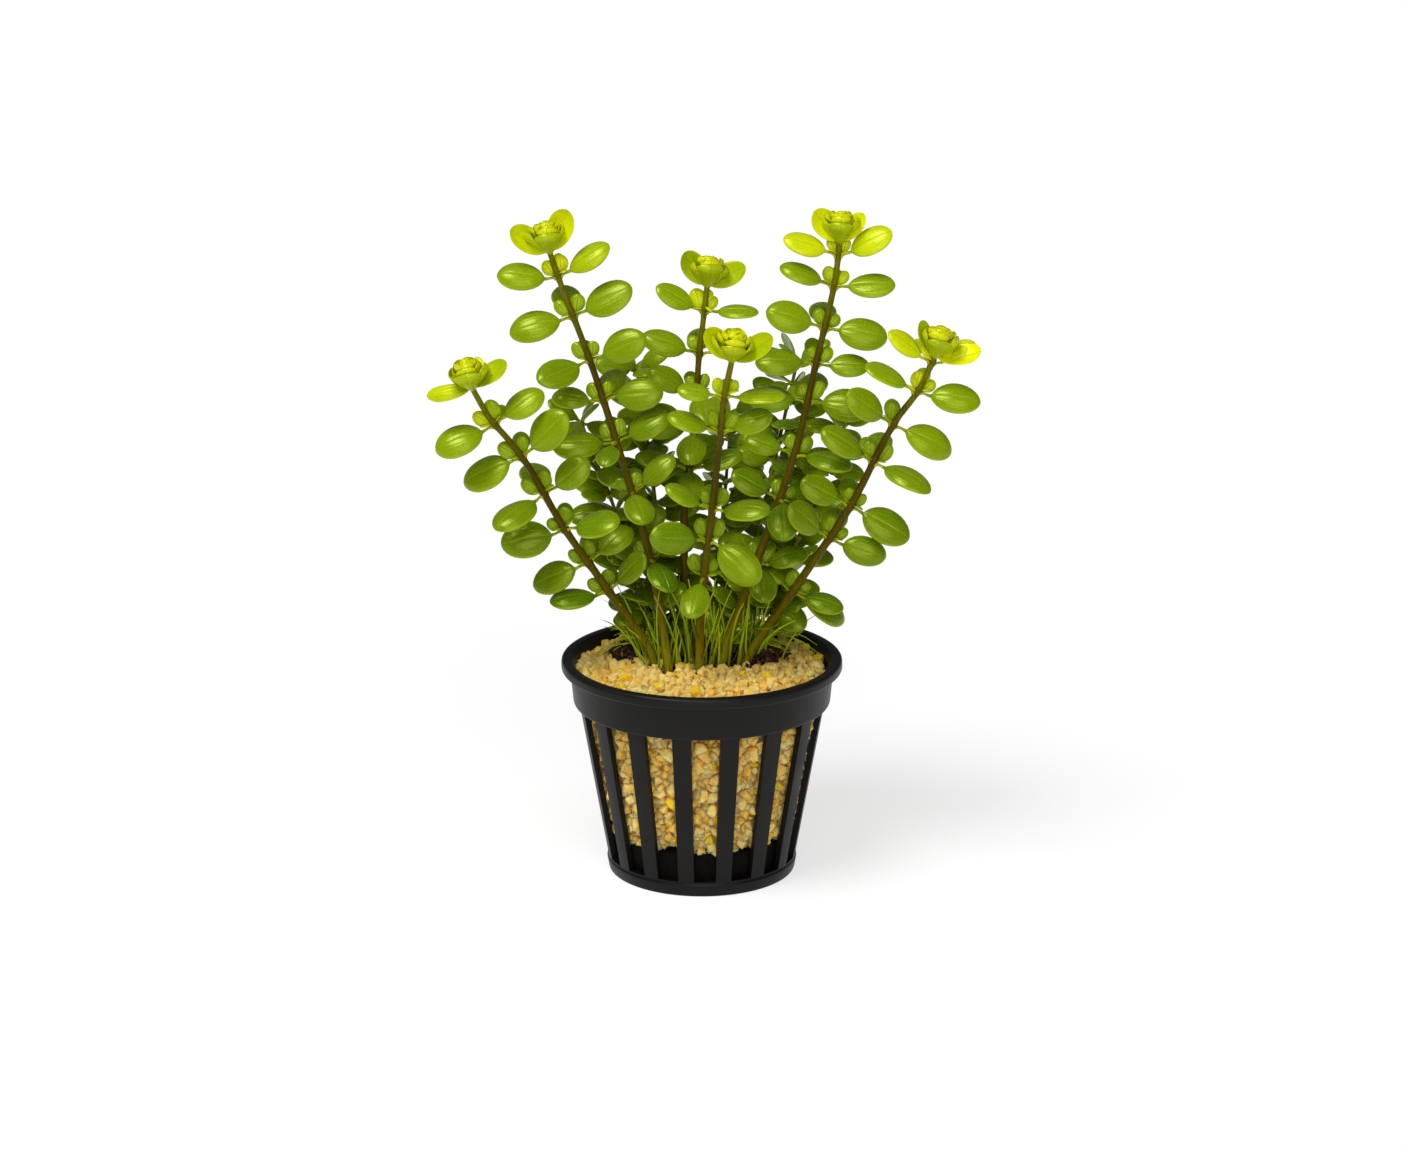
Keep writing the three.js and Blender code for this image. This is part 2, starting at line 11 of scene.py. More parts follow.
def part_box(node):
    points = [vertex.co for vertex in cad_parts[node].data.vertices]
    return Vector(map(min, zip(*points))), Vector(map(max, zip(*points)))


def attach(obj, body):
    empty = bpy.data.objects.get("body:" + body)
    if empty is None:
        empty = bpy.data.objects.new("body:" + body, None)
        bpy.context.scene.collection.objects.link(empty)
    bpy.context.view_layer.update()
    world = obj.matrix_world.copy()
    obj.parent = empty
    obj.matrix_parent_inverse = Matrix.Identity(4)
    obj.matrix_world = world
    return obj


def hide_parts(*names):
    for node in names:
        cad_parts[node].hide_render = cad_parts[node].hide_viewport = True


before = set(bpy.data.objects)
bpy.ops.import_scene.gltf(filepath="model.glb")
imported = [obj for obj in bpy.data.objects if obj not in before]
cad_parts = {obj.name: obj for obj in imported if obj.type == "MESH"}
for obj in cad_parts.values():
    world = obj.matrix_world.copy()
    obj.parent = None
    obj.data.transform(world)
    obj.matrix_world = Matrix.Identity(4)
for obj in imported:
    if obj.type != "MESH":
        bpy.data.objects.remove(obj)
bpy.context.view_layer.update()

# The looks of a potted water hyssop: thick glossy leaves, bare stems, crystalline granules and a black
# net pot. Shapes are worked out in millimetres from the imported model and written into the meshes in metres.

MM = 0.001
rng = np.random.default_rng(7)
draw = rng.uniform

# ---- sizes, in mm

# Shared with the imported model
FIT_GAP = 0.35
WALL = 1.2
FLOOR_THICKNESS = 1.5
BASE_RADIUS = 18.1
LIP_HEIGHT = 2.1
LIP_OVERHANG = 1.7
BAND_HEIGHT = 7.0
BAND_TAPER = 0.6
BAND_STEP = 1.1
FOOT_RING_HEIGHT = 2.3
FOOT_RING_PROUD = 0.3
RIB_COUNT = 16
RIB_WIDTH_AT_BASE = 3.1
RIB_WIDTH_AT_BAND = 3.7
SLOT_TURN = 1.85
SLOT_SILL = 0.7
DRAIN_COUNT = 8
DRAIN_HALF_TURN = 6.8
DRAIN_INNER_RADIUS = 8.0
DRAIN_OUTER_RADIUS = 14.5
ROOT_BALL_RADIUS = 11.0
LEAF_FACE_RISE = 0.3
LEAF_BACK_DROP = 0.55
LEAF_WIDTH_SHARE = 0.7
PETIOLE = 2.0
AXIL_PETIOLE = 0.8

# The camera
CAMERA_TARGET = (-0.17, 0.0, 59.45)
CAMERA_DISTANCE = 688.3
CAMERA_ELEVATION = 16.35
CAMERA_LENS = 90.9


def corners(node):
    low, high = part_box(node)
    return np.array(low) / MM, np.array(high) / MM


def unit(vector):
    return vector / norm(vector)


def square_to(vector, axis):
    """The unit vector that is nearest to a vector and stands square to a unit axis."""
    return unit(vector - (vector @ axis) * axis)


def mix(a, b, share):
    return a + (b - a) * share


def around(radius, turns, height):
    """Points at a radius from the upright axis, at each turn and height."""
    return np.stack(np.broadcast_arrays(radius * np.cos(turns), radius * np.sin(turns), height), 1)


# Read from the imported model
RIM_RADIUS, _, POT_HEIGHT = corners("net_pot")[1]
SURFACE = corners("growing_medium")[1][2]
MEDIUM_BOTTOM = corners("growing_medium")[0][2]
TOP_HEIGHT = max(corners(node)[1][2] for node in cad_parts)


# ---- mesh building


class Build:
    """Gathers vertices, faces and per-vertex values, then makes one object of them."""

    def __init__(self):
        self.points = []
        self.faces = []
        self.slots = []
        self.values = defaultdict(list)
        self.count = 0

    def add(self, points, faces, slot=0, **values):
        points = np.asarray(points, float)
        self.points.append(points)
        self.faces += [tuple(int(i) + self.count for i in face) for face in faces]
        self.slots += [slot] * len(faces)
        for name, value in values.items():
            self.values[name].append((self.count, np.broadcast_to(value, len(points))))
        self.count += len(points)

    def object(self, name, materials, smooth=True):
        mesh = bpy.data.meshes.new(name)
        points = np.concatenate(self.points) * MM
        mesh.from_pydata(points.tolist(), [], self.faces)
        mesh.polygons.foreach_set("material_index", self.slots)
        mesh.polygons.foreach_set("use_smooth", [smooth] * len(self.faces))
        for value, parts in self.values.items():
            data = np.zeros(self.count, np.float32)
            for start, part in parts:
                data[start:start + len(part)] = part
            mesh.attributes.new(value, "FLOAT", "POINT").data.foreach_set("value", data)
        for material in materials:
            mesh.materials.append(material)
        piece = bpy.data.objects.new(name, mesh)
        bpy.context.scene.collection.objects.link(piece)
        return piece


def stand_for(piece, slot, *nodes):
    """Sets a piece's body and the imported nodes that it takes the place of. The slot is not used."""
    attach(piece, "root")
    if nodes:
        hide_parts(*nodes)
    return piece


def loft(rings, foot, tip):
    """Vertices and faces of a closed body through rings of equal length, with a point at each end.
    The rings run clockwise when looked at from the tip."""
    rings = np.asarray(rings)
    rows, around = rings.shape[:2]
    points = np.concatenate([rings.reshape(-1, 3), [foot, tip]])
    faces = []
    for i in range(rows - 1):
        for k in range(around):
            low, low_next = i * around + k, i * around + (k + 1) % around
            faces.append((low, low + around, low_next + around, low_next))
    start, end = rows * around, rows * around + 1
    last = (rows - 1) * around
    for k in range(around):
        following = (k + 1) % around
        faces.append((start, k, following))
        faces.append((end, last + following, last + k))
    return points, faces


# ---- materials


class Shader:
    """A node material with a Principled shader, written out a step at a time."""

    def __init__(self, name, **constants):
        self.material = bpy.data.materials.new(name)
        self.material.use_nodes = True
        self.tree = self.material.node_tree
        self.surface = self.tree.nodes["Principled BSDF"]
        for socket, value in constants.items():
            self.surface.inputs[socket.replace("_", " ")].default_value = value

    def node(self, kind, inputs=(), **settings):
        node = self.tree.nodes.new("ShaderNode" + kind)
        for name, value in settings.items():
            setattr(node, name, value)
        for i, value in enumerate(inputs):
            self.feed(node.inputs[i], value)
        return node

    def feed(self, socket, value):
        if isinstance(value, bpy.types.NodeSocket):
            self.tree.links.new(value, socket)
        elif value is not None:
            socket.default_value = value

    def attribute(self, name):
        return self.node("Attribute", attribute_name=name).outputs["Fac"]

    def math(self, operation, *inputs, clamp=False):
        return self.node("Math", inputs, operation=operation, use_clamp=clamp).outputs[0]

    def scaled(self, value, factor):
        return self.math("MULTIPLY", value, factor)

    def line(self, value, middle, half_width):
        """1 where the value is at the middle, falling to 0 half a width away."""
        away = self.math("ABSOLUTE", self.math("SUBTRACT", value, middle))
        return self.math("SUBTRACT", 1.0, self.math("DIVIDE", away, half_width), clamp=True)

    def above(self, value, start, full):
        """0 below the start, rising smoothly to 1 at the full value."""
        node = self.node("MapRange", (value, start, full, 0.0, 1.0), interpolation_type="SMOOTHSTEP")
        return node.outputs[0]

    def mix(self, share, a, b, blend="MIX"):
        node = self.node("Mix", data_type="RGBA", blend_type=blend)
        self.feed(node.inputs["Factor"], share)
        for socket, value in ((node.inputs[6], a), (node.inputs[7], b)):
            self.feed(socket, (*value, 1.0) if isinstance(value, tuple) else value)
        return node.outputs[2]

    def layers(self, colour, *layers):
        """A colour with others laid over it, each given as (share, colour)."""
        for share, over in layers:
            colour = self.mix(share, colour, over)
        return colour

    def place(self):
        return self.node("TexCoord").outputs["Object"]

    def noise(self, size, detail=2.0, rough=0.5, stretch=None):
        """Noise whose features are about the size given, in mm."""
        place = self.place()
        if stretch:
            mapping = self.node("Mapping", (place,))
            mapping.inputs["Scale"].default_value = stretch
            place = mapping.outputs[0]
        node = self.node("TexNoise", (place,))
        node.inputs["Scale"].default_value = 1 / (size * MM)
        node.inputs["Detail"].default_value = detail
        node.inputs["Roughness"].default_value = rough
        return node.outputs[0]

    def ramp(self, value, *stops):
        node = self.node("ValToRGB", (value,))
        elements = node.color_ramp.elements
        while len(elements) < len(stops):
            elements.new(0.5)
        for element, (position, colour) in zip(elements, stops):
            element.position = position
            element.color = (*colour, 1.0)
        return node.outputs[0]

    def bump(self, *layers):
        """Each layer is (height, depth in mm)."""
        normal = None
        for height, depth in layers:
            node = self.node("Bump")
            node.inputs["Distance"].default_value = depth * MM
            self.feed(node.inputs["Height"], height)
            self.feed(node.inputs["Normal"], normal)
            normal = node.outputs[0]
        self.feed(self.surface.inputs["Normal"], normal)

    def set(self, socket, value):
        self.feed(self.surface.inputs[socket], value)

    def roughness(self, value, low, high, start=0.0, end=1.0):
        """The roughness, from low to high as a value goes from its start to its end."""
        self.set("Roughness", self.node("MapRange", (value, start, end, low, high)).outputs[0])


def leaf_material():
    s = Shader(
        "hyssop_leaf", Roughness=0.36, Specular_IOR_Level=0.62, Specular_Tint=(0.85, 1.0, 0.16, 1.0),
        Subsurface_Weight=0.16, Subsurface_Scale=0.0014, Subsurface_Radius=(0.8, 1.0, 0.05),
        Coat_Weight=0.02, Coat_Roughness=0.12)
    across = s.math("ABSOLUTE", s.attribute("across"))
    along = s.attribute("along")
    midrib = s.line(across, 0.0, 0.06)
    side_veins = s.math("MAXIMUM", s.line(across, 0.38, 0.05), s.line(across, 0.70, 0.04))
    fading = s.math("SUBTRACT", 1.0, s.above(along, 0.55, 0.95))
    side_veins = s.math("MULTIPLY", side_veins, fading)
    cells = s.noise(0.35, 2.0)
    patches = s.noise(2.6, 3.0)
    years = s.attribute("age")
    swing = s.scaled(s.math("ADD", years, 0.15), 0.45)
    drift = s.math("MULTIPLY", s.math("SUBTRACT", patches, 0.5), swing)
    age = s.math("ADD", years, drift, clamp=True)
    colour = s.ramp(
        age, (0.0, (0.82, 0.84, 0.002)), (0.12, (0.44, 0.53, 0.001)), (0.25, (0.208, 0.308, 0.001)),
        (0.5, (0.160, 0.252, 0.001)), (1.0, (0.066, 0.132, 0.001)))
    # Lighter margins: partly the leaf's own paler edge, partly a painted highlight where the thick rounded
    # edge catches the light.
    rim = s.above(across, 0.84, 1.0)
    petiole = s.math("LESS_THAN", along, 0.001)
    s.set("Base Color", s.layers(
        colour,
        (s.scaled(s.attribute("tint"), 0.5), (0.26, 0.33, 0.002)),
        # painted highlight on the margins, over their own paler colour
        (s.scaled(rim, 0.40), (0.46, 0.52, 0.01)),
        (s.scaled(side_veins, 0.10), (0.42, 0.52, 0.02)),
        (s.scaled(midrib, 0.28), (0.38, 0.44, 0.01)),
        (s.scaled(petiole, 0.6), (0.40, 0.38, 0.01)),
        (s.scaled(s.attribute("under"), 0.35), (0.28, 0.34, 0.003))))
    s.roughness(cells, 0.22, 0.33)
    veins = s.math("ADD", s.scaled(side_veins, -0.25), s.scaled(midrib, -0.7))
    s.bump((veins, 0.10), (cells, 0.012), (patches, 0.10))
    return s.material


def stem_material():
    s = Shader("hyssop_stem", Roughness=0.45, Specular_IOR_Level=0.25, Specular_Tint=(0.9, 0.7, 0.1, 1.0))
    streaks = s.noise(0.5, 3.0, stretch=(1.0, 1.0, 0.12))
    speckle = s.noise(0.22, 2.0)
    colour = s.ramp(
        s.attribute("height"), (0.0, (0.20, 0.165, 0.003)), (0.3, (0.090, 0.070, 0.001)),
        (0.75, (0.044, 0.029, 0.001)), (1.0, (0.15, 0.16, 0.002)))
    s.set("Base Color", s.layers(
        colour,
        (s.attribute("green"), (0.20, 0.22, 0.008)),
        (s.above(streaks, 0.5, 0.8), (0.030, 0.018, 0.001)),
        (s.scaled(s.above(speckle, 0.55, 0.7), 0.4), (0.18, 0.15, 0.006)),
        (s.scaled(s.attribute("joint"), 0.6), (0.062, 0.036, 0.002))))
    s.bump((streaks, 0.10), (speckle, 0.04))
    return s.material


def granule_material():
    s = Shader(
        "granules", Roughness=0.4, Specular_IOR_Level=0.22, Subsurface_Weight=0.70,
        Subsurface_Scale=0.003, Subsurface_Radius=(1.0, 0.66, 0.22), Specular_Tint=(1.0, 0.88, 0.5, 1.0))
    patches = s.noise(4.5, 2.0)
    colour = s.ramp(
        patches, (0.30, (0.82, 0.42, 0.07)), (0.42, (0.98, 0.57, 0.14)), (0.50, (1.0, 0.66, 0.24)),
        (0.58, (1.0, 0.59, 0.15)), (0.70, (0.94, 0.47, 0.06)))
    tint = s.attribute("tint")
    colour = s.layers(
        colour,
        (s.above(tint, 0.86, 0.95), (0.98, 0.60, 0.03)),
        (s.above(tint, 0.3, 0.1), (0.66, 0.36, 0.08)))
    colour = s.mix(s.above(tint, 0.45, 0.8), colour, (1.0, 0.92, 0.78), blend="MULTIPLY")
    clouds = s.noise(0.7, 3.0)
    colour = s.mix(s.scaled(s.above(clouds, 0.45, 0.75), 0.3), colour, (0.68, 0.39, 0.11))
    s.set("Base Color", colour)
    s.roughness(clouds, 0.25, 0.6)
    s.bump((s.noise(1.0, 3.0, 0.6), 0.5), (s.noise(0.35, 3.0, 0.65), 0.2))
    return s.material


def peat_material():
    s = Shader("peat", Roughness=0.8, Specular_IOR_Level=0.3)
    colour = s.ramp(
        s.attribute("tint"), (0.0, (0.018, 0.007, 0.003)), (0.5, (0.070, 0.022, 0.008)),
        (0.85, (0.15, 0.045, 0.014)), (1.0, (0.26, 0.12, 0.04)))
    grain = s.noise(0.3, 4.0, 0.7)
    colour = s.mix(s.above(grain, 0.4, 0.8), colour, (0.008, 0.004, 0.003))
    s.set("Base Color", colour)
    s.bump((grain, 0.2))
    return s.material


def root_and_shade_material():
    s = Shader("root_mass_and_shade", Roughness=0.85, Specular_IOR_Level=0.08)
    fibres = s.noise(0.6, 4.0, 0.7, stretch=(1.0, 1.0, 0.3))
    # Near black: partly the dark roots, partly painted shade of the pot's dark inside, seen through the
    # lowest slots.
    s.set("Base Color", s.ramp(fibres, (0.3, (0.002, 0.001, 0.001)), (0.7, (0.006, 0.004, 0.003))))
    s.bump((fibres, 0.3))
    return s.material


def shoot_material():
    s = Shader("fine_shoot", Roughness=0.4, Specular_IOR_Level=0.2)
    colour = s.ramp(
        s.attribute("height"), (0.0, (0.07, 0.032, 0.006)), (0.16, (0.20, 0.15, 0.006)),
        (0.4, (0.36, 0.46, 0.004)), (1.0, (0.58, 0.74, 0.006)))
    colour = s.mix(s.attribute("tint"), colour, (0.18, 0.32, 0.003))
    s.set("Base Color", s.mix(s.scaled(s.noise(1.0, 2.0), 0.3), colour, (0.42, 0.42, 0.03)))
    s.bump((s.noise(0.3, 2.0), 0.03))
    return s.material


def pot_material():
    s = Shader("black_plastic", Roughness=0.42, Specular_IOR_Level=0.17)
    clouds = s.noise(9.0, 3.0)
    grain = s.noise(0.25, 2.0)
    plastic = s.mix(clouds, (0.0046, 0.0042, 0.0036), (0.0072, 0.0066, 0.0056))
    # Painted shade: the plastic darkens to near black over the lowest 12 mm, towards the foot ring.
    height = s.node("SeparateXYZ", (s.place(),)).outputs["Z"]
    s.set("Base Color", s.mix(s.above(height, 0.012, 0.0), plastic, (0.0022, 0.0020, 0.0018)))
    s.roughness(clouds, 0.38, 0.50, 0.3, 0.7)
    s.bump((grain, 0.02), (clouds, 0.15))
    return s.material


def floor_material():
    s = Shader(
        "white_floor", Roughness=0.8, Specular_IOR_Level=0.0,
        Emission_Color=(1.0, 1.0, 1.0, 1.0), Emission_Strength=0.68)
    s.set("Base Color", s.mix(s.noise(60.0, 2.0), (0.34, 0.34, 0.34), (0.35, 0.35, 0.35)))
    return s.material


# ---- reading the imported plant


# How exactly, in mm, the points of a blade have to lie where its size puts them
PAIR_TOLERANCE = 0.004
LEVEL_TOLERANCE = 0.01
SIDE_TOLERANCE = 0.02
RING_SPACING = 0.8


def welded(node):
    """A node's corners, each once, and which corners share an edge."""
    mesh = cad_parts[node].data
    places = {}
    order = []
    for vertex in mesh.vertices:
        key = tuple(round(c / MM, 3) for c in vertex.co)
        order.append(places.setdefault(key, len(places)))
    neighbours = defaultdict(set)
    for face in mesh.polygons:
        ring = [order[i] for i in face.vertices]
        for a in ring:
            neighbours[a].update(b for b in ring if b != a)
    return np.array(list(places)), neighbours


def leaf_frames(node):
    """Centre, unit direction, face normal and length of each blade in a node. A blade is known by the
    points above and below its middle, and by the two points that stand level with them at its sides."""
    points, neighbours = welded(node)
    thickness = LEAF_FACE_RISE + LEAF_BACK_DROP
    apart = norm(points[:, None] - points[None], axis=2)
    found = []
    for top, bottom in zip(*np.where(np.abs(apart - thickness) < PAIR_TOLERANCE)):
        normal = (points[top] - points[bottom]) / apart[top, bottom]
        centre = points[top] - LEAF_FACE_RISE * normal
        shared = neighbours[top] & neighbours[bottom]
        if len(shared) < 3:
            continue
        for corner in shared:
            half = points[corner] - centre
            if abs(half @ normal) > LEVEL_TOLERANCE:
                continue
            side = np.cross(normal, half) * LEAF_WIDTH_SHARE
            misses = [min(norm(points - centre - hand * side, axis=1)) for hand in (1, -1)]
            if max(misses) < SIDE_TOLERANCE:
                found.append((centre, unit(half), normal, 2 * norm(half)))
                break
    return found


def stem_rings(node, top=math.inf):
    """Centres and radii of a bar's rings, from the foot up to a height."""
    points = welded(node)[0]
    points = points[points[:, 2] < top]
    points = points[np.argsort(points[:, 2])]
    breaks = np.where(np.diff(points[:, 2]) > RING_SPACING)[0] + 1
    groups = np.split(points, breaks)
    centres = np.array([group.mean(0) for group in groups])
    radii = [norm(group - centre, axis=1).max() for group, centre in zip(groups, centres)]
    return centres, np.array(radii)


def smooth_line(points, step):
    """A Catmull-Rom line through the points, cut about every step."""
    points = np.asarray(points)
    ends = np.concatenate([[2 * points[0] - points[1]], points, [2 * points[-1] - points[-2]]])
    line = []
    for i in range(len(points) - 1):
        p0, p1, p2, p3 = ends[i:i + 4]
        count = max(2, int(norm(p2 - p1) / step))
        for t in np.arange(count) / count:
            line.append(0.5 * (
                2 * p1 + (p2 - p0) * t + (2 * p0 - 5 * p1 + 4 * p2 - p3) * t ** 2
                + (3 * p1 - p0 - 3 * p2 + p3) * t ** 3))
    line.append(points[-1])
    return np.array(line)


# ---- leaves

# Lines along a blade's upper side, closer at its margins and its midrib, then round its lower side
TOP_LINES = np.array([-1, -0.94, -0.8, -0.58, -0.3, -0.1, 0, 0.1, 0.3, 0.58, 0.8, 0.94, 1])
LEAF_LINES = np.concatenate([TOP_LINES, TOP_LINES[-2:0:-1]])
LEAF_SIDES = np.concatenate([np.ones(len(TOP_LINES)), -np.ones(len(TOP_LINES) - 2)])
BLADE_ROWS = 15
PETIOLE_ROWS = 4
PETIOLE_RADIUS = 0.3
PETIOLE_FLARE = 1.5
PETIOLE_BEND = 0.4
MARGIN_ROUNDING = 0.38
DOME_FALL = 2.3
GROOVE_DEPTH = 0.07
GROOVE_WIDTH = 0.13
RIPPLE_RATE = 5
YOUNG_NARROWING = 0.88
TUCK = 0.7
YOUNG_TUCK = 2.5
TUCK_GROWTH = 0.3
SEAT_OUT = 0.35
SEAT_DOWN = 0.5
AXIL_UPRIGHT = (0.3, 1.6)
AXIL_REACH = 0.6
AXIL_SIZE = (0.75, 1.15)
AXIL_WIDTH = (0.70, 0.88)
AXIL_YOUNGER = 0.14
FOLD_FORWARD = 0.9
FOLD_LIFT = (0.1, 0.5)
FOLD_LENGTH = (1.5, 2.3)
FOLD_WIDTH = 0.8

# A blade shorter than this stands in an axil
AXIL_LEAF_LIMIT = 4.0


def blade_outline(share, widest):
    """Half width of a blade along its length, as a share of its greatest. The tip is round, and the base
    is the more wedge-shaped the nearer to the tip the blade is widest."""
    base = np.clip((widest - share) / widest, 0, 1)
    fullness = 2.1 - 4.5 * max(0, widest - 0.56)
    tip = np.clip((share - widest) / (1 - widest), 0, 1)
    return float(np.where(share < widest, (1 - base ** fullness) ** 0.62, (1 - tip ** 2.1) ** 0.54))


def leaf(build, start, along, base, direction, normal, length, width, form, **values):
    """One leaf as a closed body. It leaves the start in the stem's direction, bends over as a petiole
    and widens at the base into a blade. The form holds where along it the blade is widest, and its dome,
    arch, droop, thickness and ripple."""
    widest, dome, arch, droop, thickness, ripple_share = form
    side = np.cross(normal, direction)
    rings = []
    reach = norm(base - start)
    handle = start + unit(0.8 * along + 0.5 * direction) * reach * PETIOLE_BEND
    approach = base - direction * reach * PETIOLE_BEND
    for share in np.arange(PETIOLE_ROWS) / PETIOLE_ROWS:
        rest = 1 - share
        centre = (
            rest ** 3 * start + 3 * rest ** 2 * share * handle
            + 3 * rest * share ** 2 * approach + share ** 3 * base)
        tangent = unit(mix(handle - start, base - approach, share))
        across = square_to(side, tangent)
        lift = np.cross(tangent, across)
        radius = mix(PETIOLE_RADIUS * PETIOLE_FLARE, PETIOLE_RADIUS, min(1.0, share * 2))
        rise = np.sqrt(1 - LEAF_LINES ** 2) * LEAF_SIDES
        rings.append(centre + radius * (np.outer(LEAF_LINES, across) + np.outer(rise, lift)))
    steps = (1 - np.cos(np.pi * (np.arange(BLADE_ROWS) + 0.35) / BLADE_ROWS)) / 2
    edge = (1 - LEAF_LINES ** 2) ** MARGIN_ROUNDING
    wave = draw(0, 2 * np.pi)
    for share in steps:
        half = np.hypot(width / 2 * blade_outline(share, widest), PETIOLE_RADIUS * (1 - share) ** 5)
        level = arch * length * 4 * share * (1 - share) - droop * length * share ** 2
        lobe = dome * half * (1 - np.abs(LEAF_LINES) ** DOME_FALL)
        groove = GROOVE_DEPTH * half * np.exp(-(LEAF_LINES / GROOVE_WIDTH) ** 2) * (1 - share)
        swing = np.sin(RIPPLE_RATE * share + wave + 1.5 * LEAF_LINES)
        ripple = ripple_share * half * swing * np.abs(LEAF_LINES) ** 3
        body = thickness / 2 * edge * (1 - share ** 6) ** 0.5 * LEAF_SIDES
        height = level + lobe - groove * (LEAF_SIDES > 0) + ripple + body
        centre = base + direction * share * length
        rings.append(centre + np.outer(half * LEAF_LINES, side) + np.outer(height, normal))
    tip = base + direction * length - normal * droop * length
    points, faces = loft(rings, rings[0].mean(0), tip)
    rows = np.concatenate([np.zeros(PETIOLE_ROWS), np.maximum(steps, 0.002)])
    lines = len(LEAF_LINES)
    build.add(
        points, faces,
        along=np.concatenate([np.repeat(rows, lines), [0, 1]]),
        across=np.concatenate([np.tile(LEAF_LINES, len(rows)), [0, 0]]),
        under=np.concatenate([np.tile(LEAF_SIDES < 0, len(rows)), [0, 0]]),
        **values)


def grown_form(length):
    """The random form of a blade of this length, domed over its middle."""
    return (
        0.5, draw(0.16, 0.32), draw(-0.01, 0.05), draw(-0.02, 0.07),
        min(0.75, 0.08 * length + 0.05), 0.04)


def young_form(length):
    """The random form of a young blade, which is still cupped round the bud."""
    return 0.56, draw(-0.34, -0.2), draw(-0.06, -0.01), draw(-0.08, 0.0), 0.5, 0.08


def stem_at(line, point):
    """The nearest point of a stem's line, and the line's direction there."""
    nearest = int(np.argmin(norm(line - point, axis=1)))
    before, after = max(0, nearest - 1), min(len(line) - 1, nearest + 1)
    return line[nearest], unit(line[after] - line[before])


def grow(build, found, line, age, form_of=grown_form, tuck=TUCK, narrowing=1.0):
    """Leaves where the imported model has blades, each from the nearest point of the stem's line.
    A blade reaches back towards the stem by the tuck."""
    for centre, direction, normal, length in found:
        if length < AXIL_LEAF_LIMIT:
            axil_leaf(build, centre, direction, normal, length, line, age)
            continue
        root = centre - direction * (length / 2 + PETIOLE)
        seat, along = stem_at(line, root)
        start = seat + SEAT_OUT * unit(root - seat + 0.01 * direction) - SEAT_DOWN * along
        base = root + direction * (PETIOLE - tuck)
        grown = length + TUCK_GROWTH * tuck
        width = grown * draw(0.65, 0.74) * narrowing
        older = np.clip(age + draw(-0.10, 0.10), 0, 1)
        leaf(build, start, along, base, direction, normal, grown, width, form_of(grown),
             age=older, tint=draw(0, 0.5))


def axil_leaf(build, centre, direction, normal, length, line, age):
    """A small young leaf that stands up beside the stem, with a smaller fold in front of its foot."""
    root = centre - direction * (length / 2 + AXIL_PETIOLE)
    seat, along = stem_at(line, root)
    upright = unit(direction + draw(*AXIL_UPRIGHT) * along)
    base = mix(seat, root, AXIL_REACH) + 0.5 * along
    grown = length * draw(*AXIL_SIZE)
    younger = np.clip(age - AXIL_YOUNGER + draw(-0.10, 0.10), 0, 1)
    width = grown * draw(*AXIL_WIDTH)
    leaf(build, seat - 0.4 * along, along, base, upright, square_to(normal, upright), grown, width,
         grown_form(grown), age=younger, tint=draw(0.2, 0.6))
    forward = np.array([0, -FOLD_FORWARD, 0])
    outward = unit(root - seat - ((root - seat) @ along) * along + forward)
    turned = unit(outward + draw(*FOLD_LIFT) * along)
    small = draw(*FOLD_LENGTH)
    leaf(build, seat, along, seat + 0.5 * outward + 0.3 * along, turned, square_to(along, turned), small,
         small * FOLD_WIDTH, grown_form(small), age=younger, tint=0.5)


# A bud's rings, from outside in: leaves, length, width over length, lift in degrees, distance from the axis,
# height of the foot, inward bend, cup, age
BUD_RINGS = (
    (2, 5.6, 0.96, 58, 0.20, 0.0, 0.0, -0.42, 0.16),
    (2, 6.0, 0.92, 60, 0.20, 0.1, 0.0, -0.40, 0.08),
    (4, 5.0, 0.80, 63, 0.25, 1.1, -0.02, -0.38, 0.02),
    (5, 3.6, 0.80, 64, 0.40, 2.7, -0.06, -0.40, 0.0),
    (6, 2.6, 0.90, 62, 0.40, 3.8, -0.10, -0.35, 0.0),
    (5, 1.9, 1.0, 62, 0.25, 4.5, -0.10, -0.35, 0.0),
    (4, 1.4, 1.0, 70, 0.10, 5.0, -0.10, -0.35, 0.0))
BUD_TIP_CURL = 0.05
BUD_WIDEST = 0.78
BUD_LEAF_THICKNESS = 0.34
BUD_RIPPLE = 0.06
BUD_RIPPLE_INWARD = 0.04


def bud(build, foot, along):
    """Rings of small cupped leaves that make a goblet at the tip of a stem, filled with crumpled tips."""
    first = unit(np.cross(along, (0.0, -1.0, 0.0)))
    second = np.cross(along, first)
    for ring, (count, length, broad, lift, out, rise, bend, cup, age) in enumerate(BUD_RINGS):
        for k in range(count):
            turn = 2 * np.pi * k / count + np.pi / 2 * (ring + 1) + draw(-0.2, 0.2)
            outward = math.cos(turn) * first + math.sin(turn) * second
            angle = math.radians(lift + draw(-5, 5))
            direction = math.cos(angle) * outward + math.sin(angle) * along
            normal = math.cos(angle) * along - math.sin(angle) * outward
            size = length * draw(0.92, 1.06)
            base = foot + outward * out + along * rise
            ripple = BUD_RIPPLE + BUD_RIPPLE_INWARD * ring
            form = (BUD_WIDEST, cup, bend, BUD_TIP_CURL, BUD_LEAF_THICKNESS, ripple)
            leaf(build, foot - along * 0.4, along, base, direction, normal, size, size * broad, form,
                 age=age, tint=0.0)


# ---- stems

